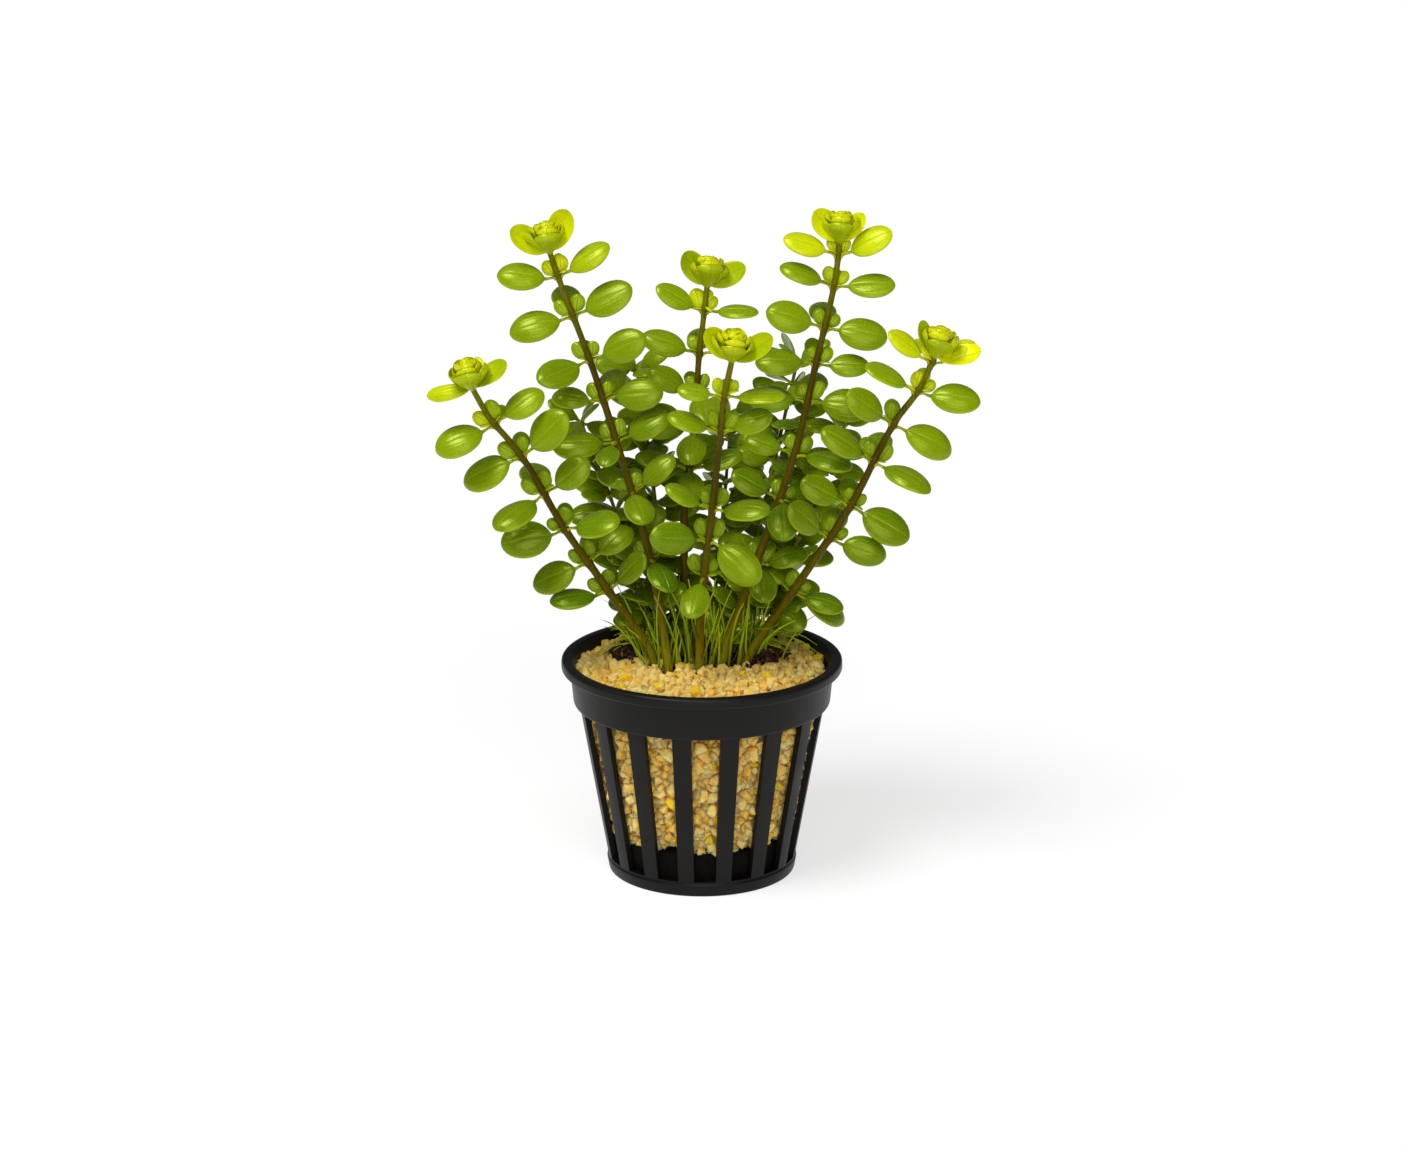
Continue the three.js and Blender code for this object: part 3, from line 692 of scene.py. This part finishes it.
STEM_STEP = 0.7
STEM_SIDES = 16
STEM_FLUTES = 0.05
STEM_SLIMMING = 0.92
STEM_FOOT_SHARE = 0.96
STEM_TIP_SHARE = 0.88
JOINT_SWELL = 0.22
JOINT_REACH = 0.75
AGEING_LENGTH = 26
CROWN_AGE = 0.08
REAR_LEAF_LENGTH = (4.6, 6.0)
REAR_LEAF_YOUNG_SHARE = 0.65
SHOOT_RADII = (0.52, 0.34)
SHOOT_TIP_AGE = 0.55
SHOOT_AGEING_LENGTH = 70
FILLERS_BETWEEN = 4
FILLER_LENGTH = (5.0, 7.8)
LOWEST_FILLERS = 6.0


def tube(build, line, radii, sides, slot=0, flutes=0.0, **values):
    """A closed round bar along a line."""
    count = len(line)
    tangents = np.gradient(line, axis=0)
    tangents /= norm(tangents, axis=1)[:, None]
    across = unit(np.cross(tangents[0], [0.31, 0.95, 0.05]))
    rings = []
    turns = -2 * np.pi * np.arange(sides) / sides
    for centre, tangent, radius in zip(line, tangents, radii):
        across = square_to(across, tangent)
        lift = np.cross(tangent, across)
        reach = radius * (1 + flutes * np.cos(4 * turns))
        ring = np.outer(reach * np.cos(turns), across) + np.outer(reach * np.sin(turns), lift)
        rings.append(centre + ring)
    foot = line[0] - tangents[0] * radii[0] * 0.4
    tip = line[-1] + tangents[-1] * radii[-1] * 0.6
    points, faces = loft(rings, foot, tip)
    spread = {}
    for name, value in values.items():
        value = np.broadcast_to(value, count)
        spread[name] = np.concatenate([np.repeat(value, sides), [value[0], value[-1]]])
    build.add(points, faces, slot, **spread)


def stem_tube(build, line, radius_foot, radius_tip, joints, slot=0, greenest=0.8):
    """A stem's bark, swollen at the joints. Its green is strongest at the foot, or even if greenest is 1."""
    share = np.linspace(0, 1, len(line))
    near = np.zeros(len(line))
    for joint in joints:
        near = np.maximum(near, np.exp(-(norm(line - joint, axis=1) / JOINT_REACH) ** 2))
    radii = STEM_SLIMMING * mix(radius_foot, radius_tip, share) + JOINT_SWELL * near
    radii += 0.02 * np.sin(share * 60)
    height = (line[:, 2] - SURFACE) / (TOP_HEIGHT - SURFACE)
    tube(build, line, radii, STEM_SIDES, slot, STEM_FLUTES, height=share, joint=near,
         green=np.clip(greenest - height * 8 * (greenest < 1), 0, 1) * draw(0.6, 1.0))


def roots_of(found):
    """Where the petioles of the blades found in a node leave the stem."""
    return np.array([centre - direction * (length / 2 + PETIOLE) for centre, direction, _, length in found])


def rear_leaf(build, joint, line, age):
    """A small leaf behind a whorl that points back and up."""
    backward = unit(np.array([draw(-0.3, 0.3), 1.0, draw(0.5, 0.9)]))
    face = square_to(np.array([0, -0.3, 1.0]), backward)
    length = draw(*REAR_LEAF_LENGTH) * mix(REAR_LEAF_YOUNG_SHARE, 1.0, age)
    centre = joint + backward * (length / 2 + PETIOLE)
    # The rear leaf is coloured a little younger and so lighter: painted light against the shade behind the
    # whorl.
    grow(build, [(centre, backward, face, length)], line, age - 0.05)


def whorl(node, line, look):
    """A whorl's leaves as one piece. Gives back the joint of the stem that they stand at."""
    found = leaf_frames(node)
    middle = np.mean(roots_of([blade for blade in found if blade[3] > AXIL_LEAF_LIMIT]), axis=0)
    joint = line[np.argmin(norm(line - middle, axis=1))]
    below = norm(line[-1] - joint)
    age = 1 - math.exp(-(below + 2.0) / AGEING_LENGTH)
    build = Build()
    grow(build, found, line, age)
    rear_leaf(build, joint, line, age)
    stand_for(build.object("leaves_" + node, [look]), "leaves", node)
    return joint


def crown(node, line, look):
    """The bud and the young leaves at a stem's tip. Those that point back are seen shortened."""
    build = Build()
    young = []
    for centre, direction, normal, length in leaf_frames(node):
        young.append((centre, direction, normal, length * (1.0 if direction[1] < 0.4 else 0.8)))
    grow(build, young, line, CROWN_AGE, young_form, YOUNG_TUCK, YOUNG_NARROWING)
    along = unit(line[-1] - line[-3])
    bud(build, line[-1], unit(along + [0, 0, 0.8]))
    stand_for(build.object("leaves_" + node, [look]), "young_leaves", node)


def main_stem(name, leaf_look, stem_look):
    """A stem with a piece for itself, one for each whorl and one for its crown."""
    centres, radii = stem_rings(name)
    line = smooth_line(centres, STEM_STEP)
    whorls = sorted(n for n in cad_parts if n.startswith(name + "_whorl_"))
    joints = [whorl(node, line, leaf_look) for node in whorls]
    crown(name + "_crown", line, leaf_look)
    build = Build()
    stem_tube(build, line, radii[0] * STEM_FOOT_SHARE, radii[-1] * STEM_TIP_SHARE, joints)
    stand_for(build.object("bark_" + name, [stem_look]), "stems", name)


def outward_face(direction):
    """The face of a blade that leans out of the plant: to the front or the back, as the blade points."""
    out = -1.0 if direction[1] < 0.3 else 1.0
    return square_to(np.array([0, out * draw(0.5, 1.4), 1.0]), direction)


def shoot_age(line, place):
    """The age of a back shoot's leaf, which grows from the tip down."""
    return min(1.0, SHOOT_TIP_AGE + (line[-1][2] - place[2]) / SHOOT_AGEING_LENGTH)


def filler_leaf(build, node, turn, length, line, age):
    """A leaf of a back shoot that points about the turn, and up or down a little, from its node."""
    direction = unit(np.array([math.cos(turn), math.sin(turn), draw(-0.3, 0.5)]))
    centre = node + direction * (length / 2 + PETIOLE)
    grow(build, [(centre, direction, outward_face(direction), length)], line, age)


def back_shoot(name, leaf_look, stem_look):
    """A shoot behind the main stems, one piece with its leaves, which fill the plant's middle."""
    found = leaf_frames(name)
    roots = roots_of(found)
    rising = roots[np.argsort(roots[:, 2])]
    nodes = [group.mean(0) for group in np.split(rising, np.where(np.diff(rising[:, 2]) > 1.5)[0] + 1)]
    line = smooth_line([*stem_rings(name, SURFACE + 3)[0], *nodes], STEM_STEP)
    build = Build()
    stem_tube(build, line, *SHOOT_RADII, nodes, slot=1, greenest=1.0)
    for (centre, direction, _, length), root in zip(found, roots):
        age = shoot_age(line, centre)
        grow(build, [(centre, direction, outward_face(direction), length)], line, age)
        turn = math.atan2(direction[1], direction[0]) + math.radians(draw(45, 75))
        filler_leaf(build, root, turn, draw(5.5, 7.5), line, age - 0.1)
    lowest = line[np.argmin(np.abs(line[:, 2] - SURFACE - LOWEST_FILLERS))]
    places = [mix(below, above, 0.5) for below, above in zip([lowest, *nodes[:-1]], nodes)]
    for place in [lowest, *places]:
        for k in range(FILLERS_BETWEEN):
            turn = 2 * np.pi * (k + draw(0, 0.8)) / FILLERS_BETWEEN
            filler_leaf(build, place, turn, draw(*FILLER_LENGTH), line, shoot_age(line, place))
    stand_for(build.object("foliage_" + name, [leaf_look, stem_look]), "shaded_leaves", name)


# ---- pot

LIP_BOTTOM = POT_HEIGHT - LIP_HEIGHT
BAND_BOTTOM = LIP_BOTTOM - BAND_HEIGHT
BAND_TOP_RADIUS = RIM_RADIUS - LIP_OVERHANG
BAND_BOTTOM_RADIUS = BAND_TOP_RADIUS - BAND_TAPER
BODY_TOP_RADIUS = BAND_BOTTOM_RADIUS - BAND_STEP
SLOT_LOW = FOOT_RING_HEIGHT + SLOT_SILL
SLOT_COLUMNS = 6
RIB_COLUMNS = 5
SLOT_ROWS = 10
DRAIN_ROW = 2
EDGE_BEVEL = 0.14


def body_radius(height):
    return mix(BASE_RADIUS, BODY_TOP_RADIUS, height / BAND_BOTTOM)


def inside_radius(height):
    if height <= BAND_BOTTOM:
        return body_radius(height) - WALL
    rise = min(1, (height - BAND_BOTTOM) / BAND_HEIGHT)
    return mix(BODY_TOP_RADIUS, BAND_TOP_RADIUS, rise) - WALL


def rounded(profile, steps=4):
    """A profile of (radius, height, fillet) with each corner turned into an arc."""
    points = []
    for i, (x, z, fillet) in enumerate(profile):
        here = np.array([x, z])
        if not fillet:
            points.append(here)
            continue
        before = unit(np.array(profile[i - 1][:2]) - here)
        after = unit(np.array(profile[(i + 1) % len(profile)][:2]) - here)
        for t in np.linspace(0, 1, steps + 1):
            start, end = here + before * fillet, here + after * fillet
            points.append((1 - t) ** 2 * start + 2 * t * (1 - t) * here + t ** 2 * end)
    return points


def pot_columns(height):
    """Turns of the columns at a height: across each rib and across each slot, which widens upwards."""
    pitch = 2 * math.pi / RIB_COUNT
    height = min(max(height, SLOT_LOW), BAND_BOTTOM)
    rise = (height - SLOT_LOW) / (BAND_BOTTOM - SLOT_LOW)
    radius = body_radius(height)
    rib = mix(RIB_WIDTH_AT_BASE, RIB_WIDTH_AT_BAND, rise)
    half_slot = (radius * pitch - rib) / 2 / radius
    turns = []
    for i in range(RIB_COUNT):
        middle = math.radians(SLOT_TURN - 90) + i * pitch
        turns += list(middle + np.linspace(-half_slot, half_slot, SLOT_COLUMNS + 1)[:-1])
        turns += list(middle + np.linspace(half_slot, pitch - half_slot, RIB_COLUMNS + 1)[:-1])
    return np.array(turns)


def pot_profile():
    """The stretches of the pot's closed profile, as (radius, height): under the floor, foot ring, wall,
    band and lip, wall inside, floor."""
    slot_heights = np.linspace(SLOT_LOW, BAND_BOTTOM, SLOT_ROWS + 1)
    under = [(r, 0.0) for r in (0.8, 4.0, DRAIN_INNER_RADIUS, DRAIN_OUTER_RADIUS, BASE_RADIUS - 1.5)]
    foot = rounded([
        (BASE_RADIUS - 1.0, 0.0, 0), (body_radius(0) + FOOT_RING_PROUD, 0.0, 0.35),
        (body_radius(FOOT_RING_HEIGHT) + FOOT_RING_PROUD, FOOT_RING_HEIGHT, 0.18),
        (body_radius(FOOT_RING_HEIGHT + 0.35), FOOT_RING_HEIGHT + 0.35, 0)])
    wall = [(body_radius(z), z) for z in slot_heights]
    rim = rounded([
        (BAND_BOTTOM_RADIUS - 0.25, BAND_BOTTOM + 0.1, 0.2),
        (BAND_BOTTOM_RADIUS, BAND_BOTTOM + 0.55, 0.25),
        (BAND_TOP_RADIUS, LIP_BOTTOM - 0.1, 0.25),
        (RIM_RADIUS, LIP_BOTTOM, 0.45), (RIM_RADIUS, POT_HEIGHT, 0.8),
        (BAND_TOP_RADIUS - 0.3, POT_HEIGHT, 0.45), (inside_radius(LIP_BOTTOM), LIP_BOTTOM, 0.3)])
    inner = [(body_radius(z) - WALL, z) for z in slot_heights[::-1]]
    floor = [(inside_radius(FLOOR_THICKNESS) - 0.1, FLOOR_THICKNESS)]
    floor += [(r, FLOOR_THICKNESS) for r in (DRAIN_OUTER_RADIUS, DRAIN_INNER_RADIUS, 4.0, 0.8)]
    return under, foot, wall, rim, inner, floor


def open_cells(wall_start, columns):
    """The cells of the pot's grid that the slots and the drains leave out, as (row, column)."""
    cells = set()
    for row in range(wall_start, wall_start + SLOT_ROWS):
        for column in range(columns):
            if column % (SLOT_COLUMNS + RIB_COLUMNS) < SLOT_COLUMNS:
                cells.add((row, column))
    turns = pot_columns(0) + math.pi / 2
    pitch = 360 / DRAIN_COUNT
    for column in range(columns):
        middle = math.degrees((turns[column] + turns[(column + 1) % columns]) / 2)
        off = (middle - pitch / 2) % pitch
        if min(off, pitch - off) < DRAIN_HALF_TURN:
            cells.add((DRAIN_ROW, column))
    return cells


def opening_walls(cells, partner, columns):
    """The faces that join the pot's two skins round each opening."""
    faces = []
    for row, column in cells:
        after = (column + 1) % columns
        edges = (
            ((row - 1, column), (row, column), (row, after)),
            ((row, after), (row, after), (row + 1, after)),
            ((row + 1, column), (row + 1, after), (row + 1, column)),
            ((row, (column - 1) % columns), (row + 1, column), (row, column)))
        for neighbour, start, end in edges:
            if neighbour not in cells:
                outer = [r * columns + c for r, c in (start, end)]
                inner = [partner[r] * columns + c for r, c in (start, end)]
                faces.append((outer[1], inner[1], inner[0], outer[0]))
    return faces


def net_pot():
    """The pot as one grid of rings round its profile, with cells left out for slots and drains."""
    stretches = pot_profile()
    rings = []
    for radius, height in [point for stretch in stretches for point in stretch]:
        rings.append(around(radius, pot_columns(height), height))
    columns = len(rings[0])
    count = len(rings)
    wall_start = len(stretches[0]) + len(stretches[1])
    inner_start = count - len(stretches[5]) - len(stretches[4])
    partner = {wall_start + i: inner_start + SLOT_ROWS - i for i in range(SLOT_ROWS + 1)}
    partner.update({DRAIN_ROW: count - 3, DRAIN_ROW + 1: count - 4})
    cells = open_cells(wall_start, columns)
    shut = {(partner[row + 1], column) for row, column in cells} | cells
    faces = []
    for row in range(count - 1):
        for column in range(columns):
            if (row, column) not in shut:
                a, b = row * columns + column, row * columns + (column + 1) % columns
                faces.append((a, b, b + columns, a + columns))
    faces += opening_walls(cells, partner, columns)
    faces.append(tuple(range(columns))[::-1])
    faces.append(tuple(range((count - 1) * columns, count * columns)))
    build = Build()
    build.add(np.concatenate(rings), faces)
    piece = build.object("pot_shell", [pot_material()])
    bevel = piece.modifiers.new("soft_edges", "BEVEL")
    bevel.width = EDGE_BEVEL * MM
    bevel.segments = 2
    bevel.limit_method = "ANGLE"
    bevel.angle_limit = math.radians(50)
    bevel.harden_normals = True
    return stand_for(piece, "pot", "net_pot")


# ---- granules, peat and roots

# Middle, reach along and across, and turn of each patch of peat
PEAT_PATCHES = (
    ((-14.9, 4.6), (5.8, 4.0), 100),
    ((12.6, 2.6), (8.4, 3.6), 60))
PEAT_RISE = 2.8
PEAT_SIZES = (0.6, 1.7)
PEAT_SPACING = 0.55
CRUMB_CORNERS = 11
CRUMB_ROUGHNESS = 0.45
GRANULE_CORNERS = 18
GRANULE_ROUGHNESS = 0.42
TOP_SIZES = (1.7, 3.9)
TOP_SPACING = 1.15
SIDE_SIZES = (2.0, 4.2)
SIDE_SPACING = 1.2
SIDE_DEPTHS = (1.2, 2.8)
YELLOW_SHARE = 0.06
TOP_DARK_SHARE = 0.30
# Behind the slots more granules are dark: partly dark granules, partly painted shade of the pot's wall.
SIDE_DARK_AND_SHADE_SHARE = 0.45
BARE_RADIUS = 8.5
STEM_CLEARANCE = 1.7
UPRIGHT_HAIRS = 170
ARCHING_HAIRS = 20


def crystals(count, corner_count, rough):
    """Small convex lumps of about unit size, as (points, triangles)."""
    shapes = []
    for _ in range(count):
        directions = rng.normal(size=(corner_count, 3))
        points = directions / norm(directions, axis=1)[:, None]
        points *= draw(1 - rough, 1, (corner_count, 1)) * draw(0.72, 1.1, 3)
        lump = bmesh.new()
        for point in points:
            lump.verts.new(point)
        hull = bmesh.ops.convex_hull(lump, input=lump.verts)
        spare = {e for e in hull["geom_interior"] + hull["geom_unused"] if isinstance(e, bmesh.types.BMVert)}
        bmesh.ops.delete(lump, geom=list(spare), context="VERTS")
        lump.verts.index_update()
        shapes.append((
            np.array([v.co for v in lump.verts]) * 0.5,
            [tuple(v.index for v in face.verts) for face in lump.faces]))
        lump.free()
    return shapes


def turned_at_random(points):
    turn = Quaternion(unit(rng.normal(size=4)))
    return points @ np.array(turn.to_matrix()).T


def scatter(build, shapes, places, low, high, tint, slot=0):
    for place in places:
        points, faces = shapes[rng.integers(len(shapes))]
        size = draw(low, high)
        build.add(turned_at_random(points) * size + place, faces, slot, tint=tint())


def spaced(candidates, gap):
    """Those candidates that keep a distance from the ones before them."""
    cells = defaultdict(list)
    kept = []
    for point in candidates:
        cell = tuple(np.floor(point / gap).astype(int))
        near = [
            cells[(cell[0] + i, cell[1] + j, cell[2] + k)]
            for i in (-1, 0, 1) for j in (-1, 0, 1) for k in (-1, 0, 1)]
        if all(norm(point - other) >= gap for group in near for other in group):
            cells[cell].append(point)
            kept.append(point)
    return np.array(kept)


def granule_tint(dark_share=TOP_DARK_SHARE):
    """Above 0.9 for a yellow granule, below 0.3 for a dark one, and else between them."""
    kind = draw()
    if kind < YELLOW_SHARE:
        return draw(0.9, 1.0)
    if kind < dark_share:
        return draw(0.14, 0.3)
    return draw(0.34, 0.84)


def medium_height(radius):
    """The granules' top: a low mound that drops towards the pot's wall."""
    edge = inside_radius(SURFACE - 1.2)
    outward = np.clip((radius - ROOT_BALL_RADIUS) / (edge - ROOT_BALL_RADIUS), 0, 1)
    return mix(SURFACE + 0.3, SURFACE - 0.9, outward)


def lathe(build, profile, sides, wobble, **values):
    """A closed turned body with an uneven skin."""
    turns = 2 * np.pi * np.arange(sides) / sides
    rings = []
    for radius, height in profile:
        waves = np.sin(7 * turns + height) + np.sin(13 * turns - 0.7 * height)
        waves += np.sin(23 * turns + 1.9 * height)
        rings.append(around(radius * (1 + wobble * waves / 3), -turns, height))
    points, faces = loft(rings, (0, 0, profile[0][1]), (0, 0, profile[-1][1]))
    build.add(points, faces, **values)


def top_places(feet):
    """Places for the granules on top, clear of the root mass, the stems and the peat."""
    edge = inside_radius(SURFACE - 1.2) - 0.6
    radius = np.sqrt(draw(3.5 ** 2, edge ** 2, 16000))
    turn = draw(0, 2 * np.pi, len(radius))
    top = around(radius, turn, medium_height(radius) - draw(0, 1.9, len(radius)))
    hidden = (radius < BARE_RADIUS) & ((top[:, 1] > -3) | (draw(size=len(radius)) < 0.4))
    for foot in feet:
        hidden |= norm(top[:, :2] - foot[:2], axis=1) <= STEM_CLEARANCE
    for patch in PEAT_PATCHES:
        hidden |= patch_distance(top, *patch) < draw(0.7, 1.1, len(top))
    return spaced(top[~hidden], TOP_SPACING)


def side_places():
    """Places for the granules behind the slots, down to a jagged lower edge."""
    height = draw(MEDIUM_BOTTOM - 0.2, SURFACE - 2.0, 26000)
    turn = draw(0, 2 * np.pi, len(height))
    depth = draw(*SIDE_DEPTHS, len(height))
    reach = np.array([inside_radius(z) for z in height]) - depth
    edge = MEDIUM_BOTTOM + 1.2 * np.sin(5 * turn + 1) * np.sin(11 * turn)
    edge += draw(-0.8, 1.0, len(height))
    return spaced(around(reach, turn, height)[height > edge], SIDE_SPACING)


def growing_medium(feet):
    """The granules, on a core that fills the space behind them."""
    build = Build()
    levels = np.linspace(MEDIUM_BOTTOM + 0.6, SURFACE - 2.4, 12)
    core = [(1.0, levels[0])] + [(inside_radius(z) - 1.9, z) for z in levels] + [(1.0, levels[-1])]
    lathe(build, core, 64, 0.006, tint=0.5)
    shapes = crystals(24, GRANULE_CORNERS, GRANULE_ROUGHNESS)
    scatter(build, shapes, top_places(feet), *TOP_SIZES, granule_tint)
    # The side granules take the larger dark share: painted shade behind the pot's wall, over the granules'
    # own dark ones.
    scatter(build, shapes, side_places(), *SIDE_SIZES, lambda: granule_tint(SIDE_DARK_AND_SHADE_SHARE))
    piece = build.object("granule_bed", [granule_material()], smooth=False)
    return stand_for(piece, "granules", "growing_medium")


def patch_distance(points, middle, reach, turn):
    """How far points are from a patch's middle, as shares of its reach along and across."""
    away = points[:, :2] - np.array(middle)
    angle = math.radians(turn)
    along = away @ [math.cos(angle), math.sin(angle)]
    across = away @ [-math.sin(angle), math.cos(angle)]
    return np.hypot(along / reach[0], across / reach[1])


def peat(node, patch, look):
    """A patch of dark crumbs lying among the granules."""
    middle, reach, _ = patch
    build = Build()
    shapes = crystals(8, CRUMB_CORNERS, CRUMB_ROUGHNESS)
    place = draw(-1, 1, (9000, 3)) * max(reach) + [*middle, 0]
    away = patch_distance(place, *patch)
    place[:, 2] = medium_height(np.hypot(place[:, 0], place[:, 1])) - 0.5
    place[:, 2] += draw(0, 1, len(place)) * PEAT_RISE * np.clip(1.1 - away ** 2, 0, 1)
    place = spaced(place[away < draw(0.7, 1.0, len(place))], PEAT_SPACING)
    scatter(build, shapes, place, *PEAT_SIZES, lambda: draw(0, 1) ** 1.5)
    return stand_for(build.object("crumbs_" + node, [look], smooth=False), "peat", node)


def root_ball(look, crumb_look):
    """The mass on the pot's floor and up its middle, with crumbs on top between the stems. Its near-black
    colour is partly dark roots and partly painted shade of the pot's dark inside.
    """
    build = Build()
    bottom = FLOOR_THICKNESS + FIT_GAP
    shoulder = MEDIUM_BOTTOM - FIT_GAP
    profile = [
        (2.0, bottom), (inside_radius(bottom) - 0.6, bottom), (inside_radius(5) - 0.5, 5.0),
        (inside_radius(shoulder) - 0.6, shoulder - 0.2), (10.0, shoulder), (9.5, 20.0), (10.2, 32.0),
        (ROOT_BALL_RADIUS - 0.6, SURFACE - 1.6), (8.0, SURFACE - 0.9), (3.0, SURFACE - 0.5)]
    lathe(build, profile, 72, 0.012)
    shapes = crystals(8, CRUMB_CORNERS, CRUMB_ROUGHNESS)
    radius = 9.5 * np.sqrt(draw(0, 1, 2500))
    turn = draw(0, 2 * np.pi, len(radius))
    place = spaced(around(radius, turn, SURFACE - 0.9 + draw(0, 0.8, len(radius))), 0.75)
    scatter(build, shapes, place, 0.6, 1.6, lambda: draw(0, 1) ** 2, slot=1)
    piece = build.object("root_mass_and_shade", [look, crumb_look], smooth=False)
    return stand_for(piece, "roots", "root_ball")


def hair(build, start, lean, length, curl, radius):
    """One tapering shoot that leans over as it rises, and curls to one side."""
    steps = np.linspace(0, 1, 9)
    upward = np.array([0, 0, 1.0])
    sideways = np.array([-lean[1], lean[0], 0.0])
    slope = float(lean @ lean)
    line = np.array([
        start + length * (
            t * upward * math.sqrt(max(0.05, 1 - slope * t)) + t * lean * (0.55 + 0.45 * t)
            + sideways * curl * math.sin(3 * t) * t - 0.35 * upward * slope * t ** 2)
        for t in steps])
    tube(build, line, radius * (1 - 0.75 * steps ** 1.5), 6, height=steps, tint=draw(0, 0.7))


def fine_shoots(feet):
    """Hair-thin shoots behind the feet of the stems, and some at the sides that arch over to the rim."""
    build = Build()
    for _ in range(UPRIGHT_HAIRS):
        foot = feet[rng.integers(len(feet))]
        turn = draw(0, 2 * np.pi)
        aside, behind = rng.normal(0, 2.2, 2)
        start = np.array([foot[0] * 0.9 + aside, foot[1] * 0.9 + 0.3 + abs(behind), SURFACE - 1.2])
        outward = unit(np.array([start[0], start[1] - 1.0, 0.0]) + 1e-6)
        lean = outward * draw(0.0, 0.42) + 0.24 * np.array([math.cos(turn), math.sin(turn), 0])
        hair(build, start, lean, draw(4, 20), draw(-0.5, 0.5), draw(0.15, 0.36))
    for hand in (-1, 1):
        for _ in range(ARCHING_HAIRS):
            start = np.array([hand * draw(5.5, 9.5), draw(3, 9), SURFACE - 0.6])
            lean = np.array([hand * draw(0.7, 1.0), draw(-0.3, 0.3), 0.0])
            hair(build, start, lean, draw(8, 16), draw(-0.4, 0.4), draw(0.16, 0.30))
    stand_for(build.object("fine_shoots", [shoot_material()]), "stems")


# ---- the object

leaf_look = leaf_material()
stem_look = stem_material()
crumb_look = peat_material()

stem_names = sorted(n[:-len("_crown")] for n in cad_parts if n.endswith("_crown"))
shoot_names = sorted(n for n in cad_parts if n.startswith("back_shoot_"))


def foot_of(name):
    """Where a stem comes out of the root ball."""
    centres = stem_rings(name, SURFACE + 3)[0]
    return centres[np.argmin(np.abs(centres[:, 2] - SURFACE))]


feet = [foot_of(name) for name in stem_names + shoot_names]
net_pot()
growing_medium(feet)
for node, patch in zip(("peat_left", "peat_right"), PEAT_PATCHES):
    peat(node, patch, crumb_look)
root_ball(root_and_shade_material(), crumb_look)
fine_shoots(feet)
for name in stem_names:
    main_stem(name, leaf_look, stem_look)
for name in shoot_names:
    back_shoot(name, leaf_look, stem_look)

# ---- floor, light and camera

FLOOR_HALF_SIDE = 5.0
WORLD_STRENGTH = 0.12


def floor():
    mesh = bpy.data.meshes.new("studio_floor")
    half = FLOOR_HALF_SIDE
    square = [(-half, -half, 0), (half, -half, 0), (half, half, 0), (-half, half, 0)]
    mesh.from_pydata(square, [], [(0, 1, 2, 3)])
    mesh.materials.append(floor_material())
    piece = bpy.data.objects.new("studio_floor", mesh)
    bpy.context.scene.collection.objects.link(piece)


def aimed(thing, place, target):
    thing.location = place
    thing.rotation_mode = "QUATERNION"
    thing.rotation_quaternion = (Vector(target) - Vector(place)).to_track_quat("-Z", "Y")
    bpy.context.scene.collection.objects.link(thing)
    return thing


def soft_sun(name, place, spread, strength):
    """A light as wide as a softbox that falls evenly over the whole floor."""
    light = bpy.data.lights.new(name, "SUN")
    light.angle = math.radians(spread)
    light.energy = strength
    return aimed(bpy.data.objects.new(name, light), place, (0, 0, 0))


def studio():
    world = bpy.data.worlds.new("studio")
    world.use_nodes = True
    background = world.node_tree.nodes["Background"]
    background.inputs["Color"].default_value = (1.0, 1.0, 1.0, 1.0)
    background.inputs["Strength"].default_value = WORLD_STRENGTH
    bpy.context.scene.world = world
    soft_sun("key", (-0.36, -0.38, 1.0), 28, 2.4)
    soft_sun("fill", (0.1, -1.0, 0.5), 45, 1.25)
    bpy.context.scene.view_settings.view_transform = "Standard"


def camera():
    data = bpy.data.cameras.new("camera")
    data.lens = CAMERA_LENS
    data.sensor_width = 36
    data.clip_start, data.clip_end = 0.02, 50
    target = np.array(CAMERA_TARGET) * MM
    angle = math.radians(CAMERA_ELEVATION)
    place = target + CAMERA_DISTANCE * MM * np.array([0, -math.cos(angle), math.sin(angle)])
    bpy.context.scene.camera = aimed(bpy.data.objects.new("camera", data), tuple(place), tuple(target))


floor()
studio()
camera()
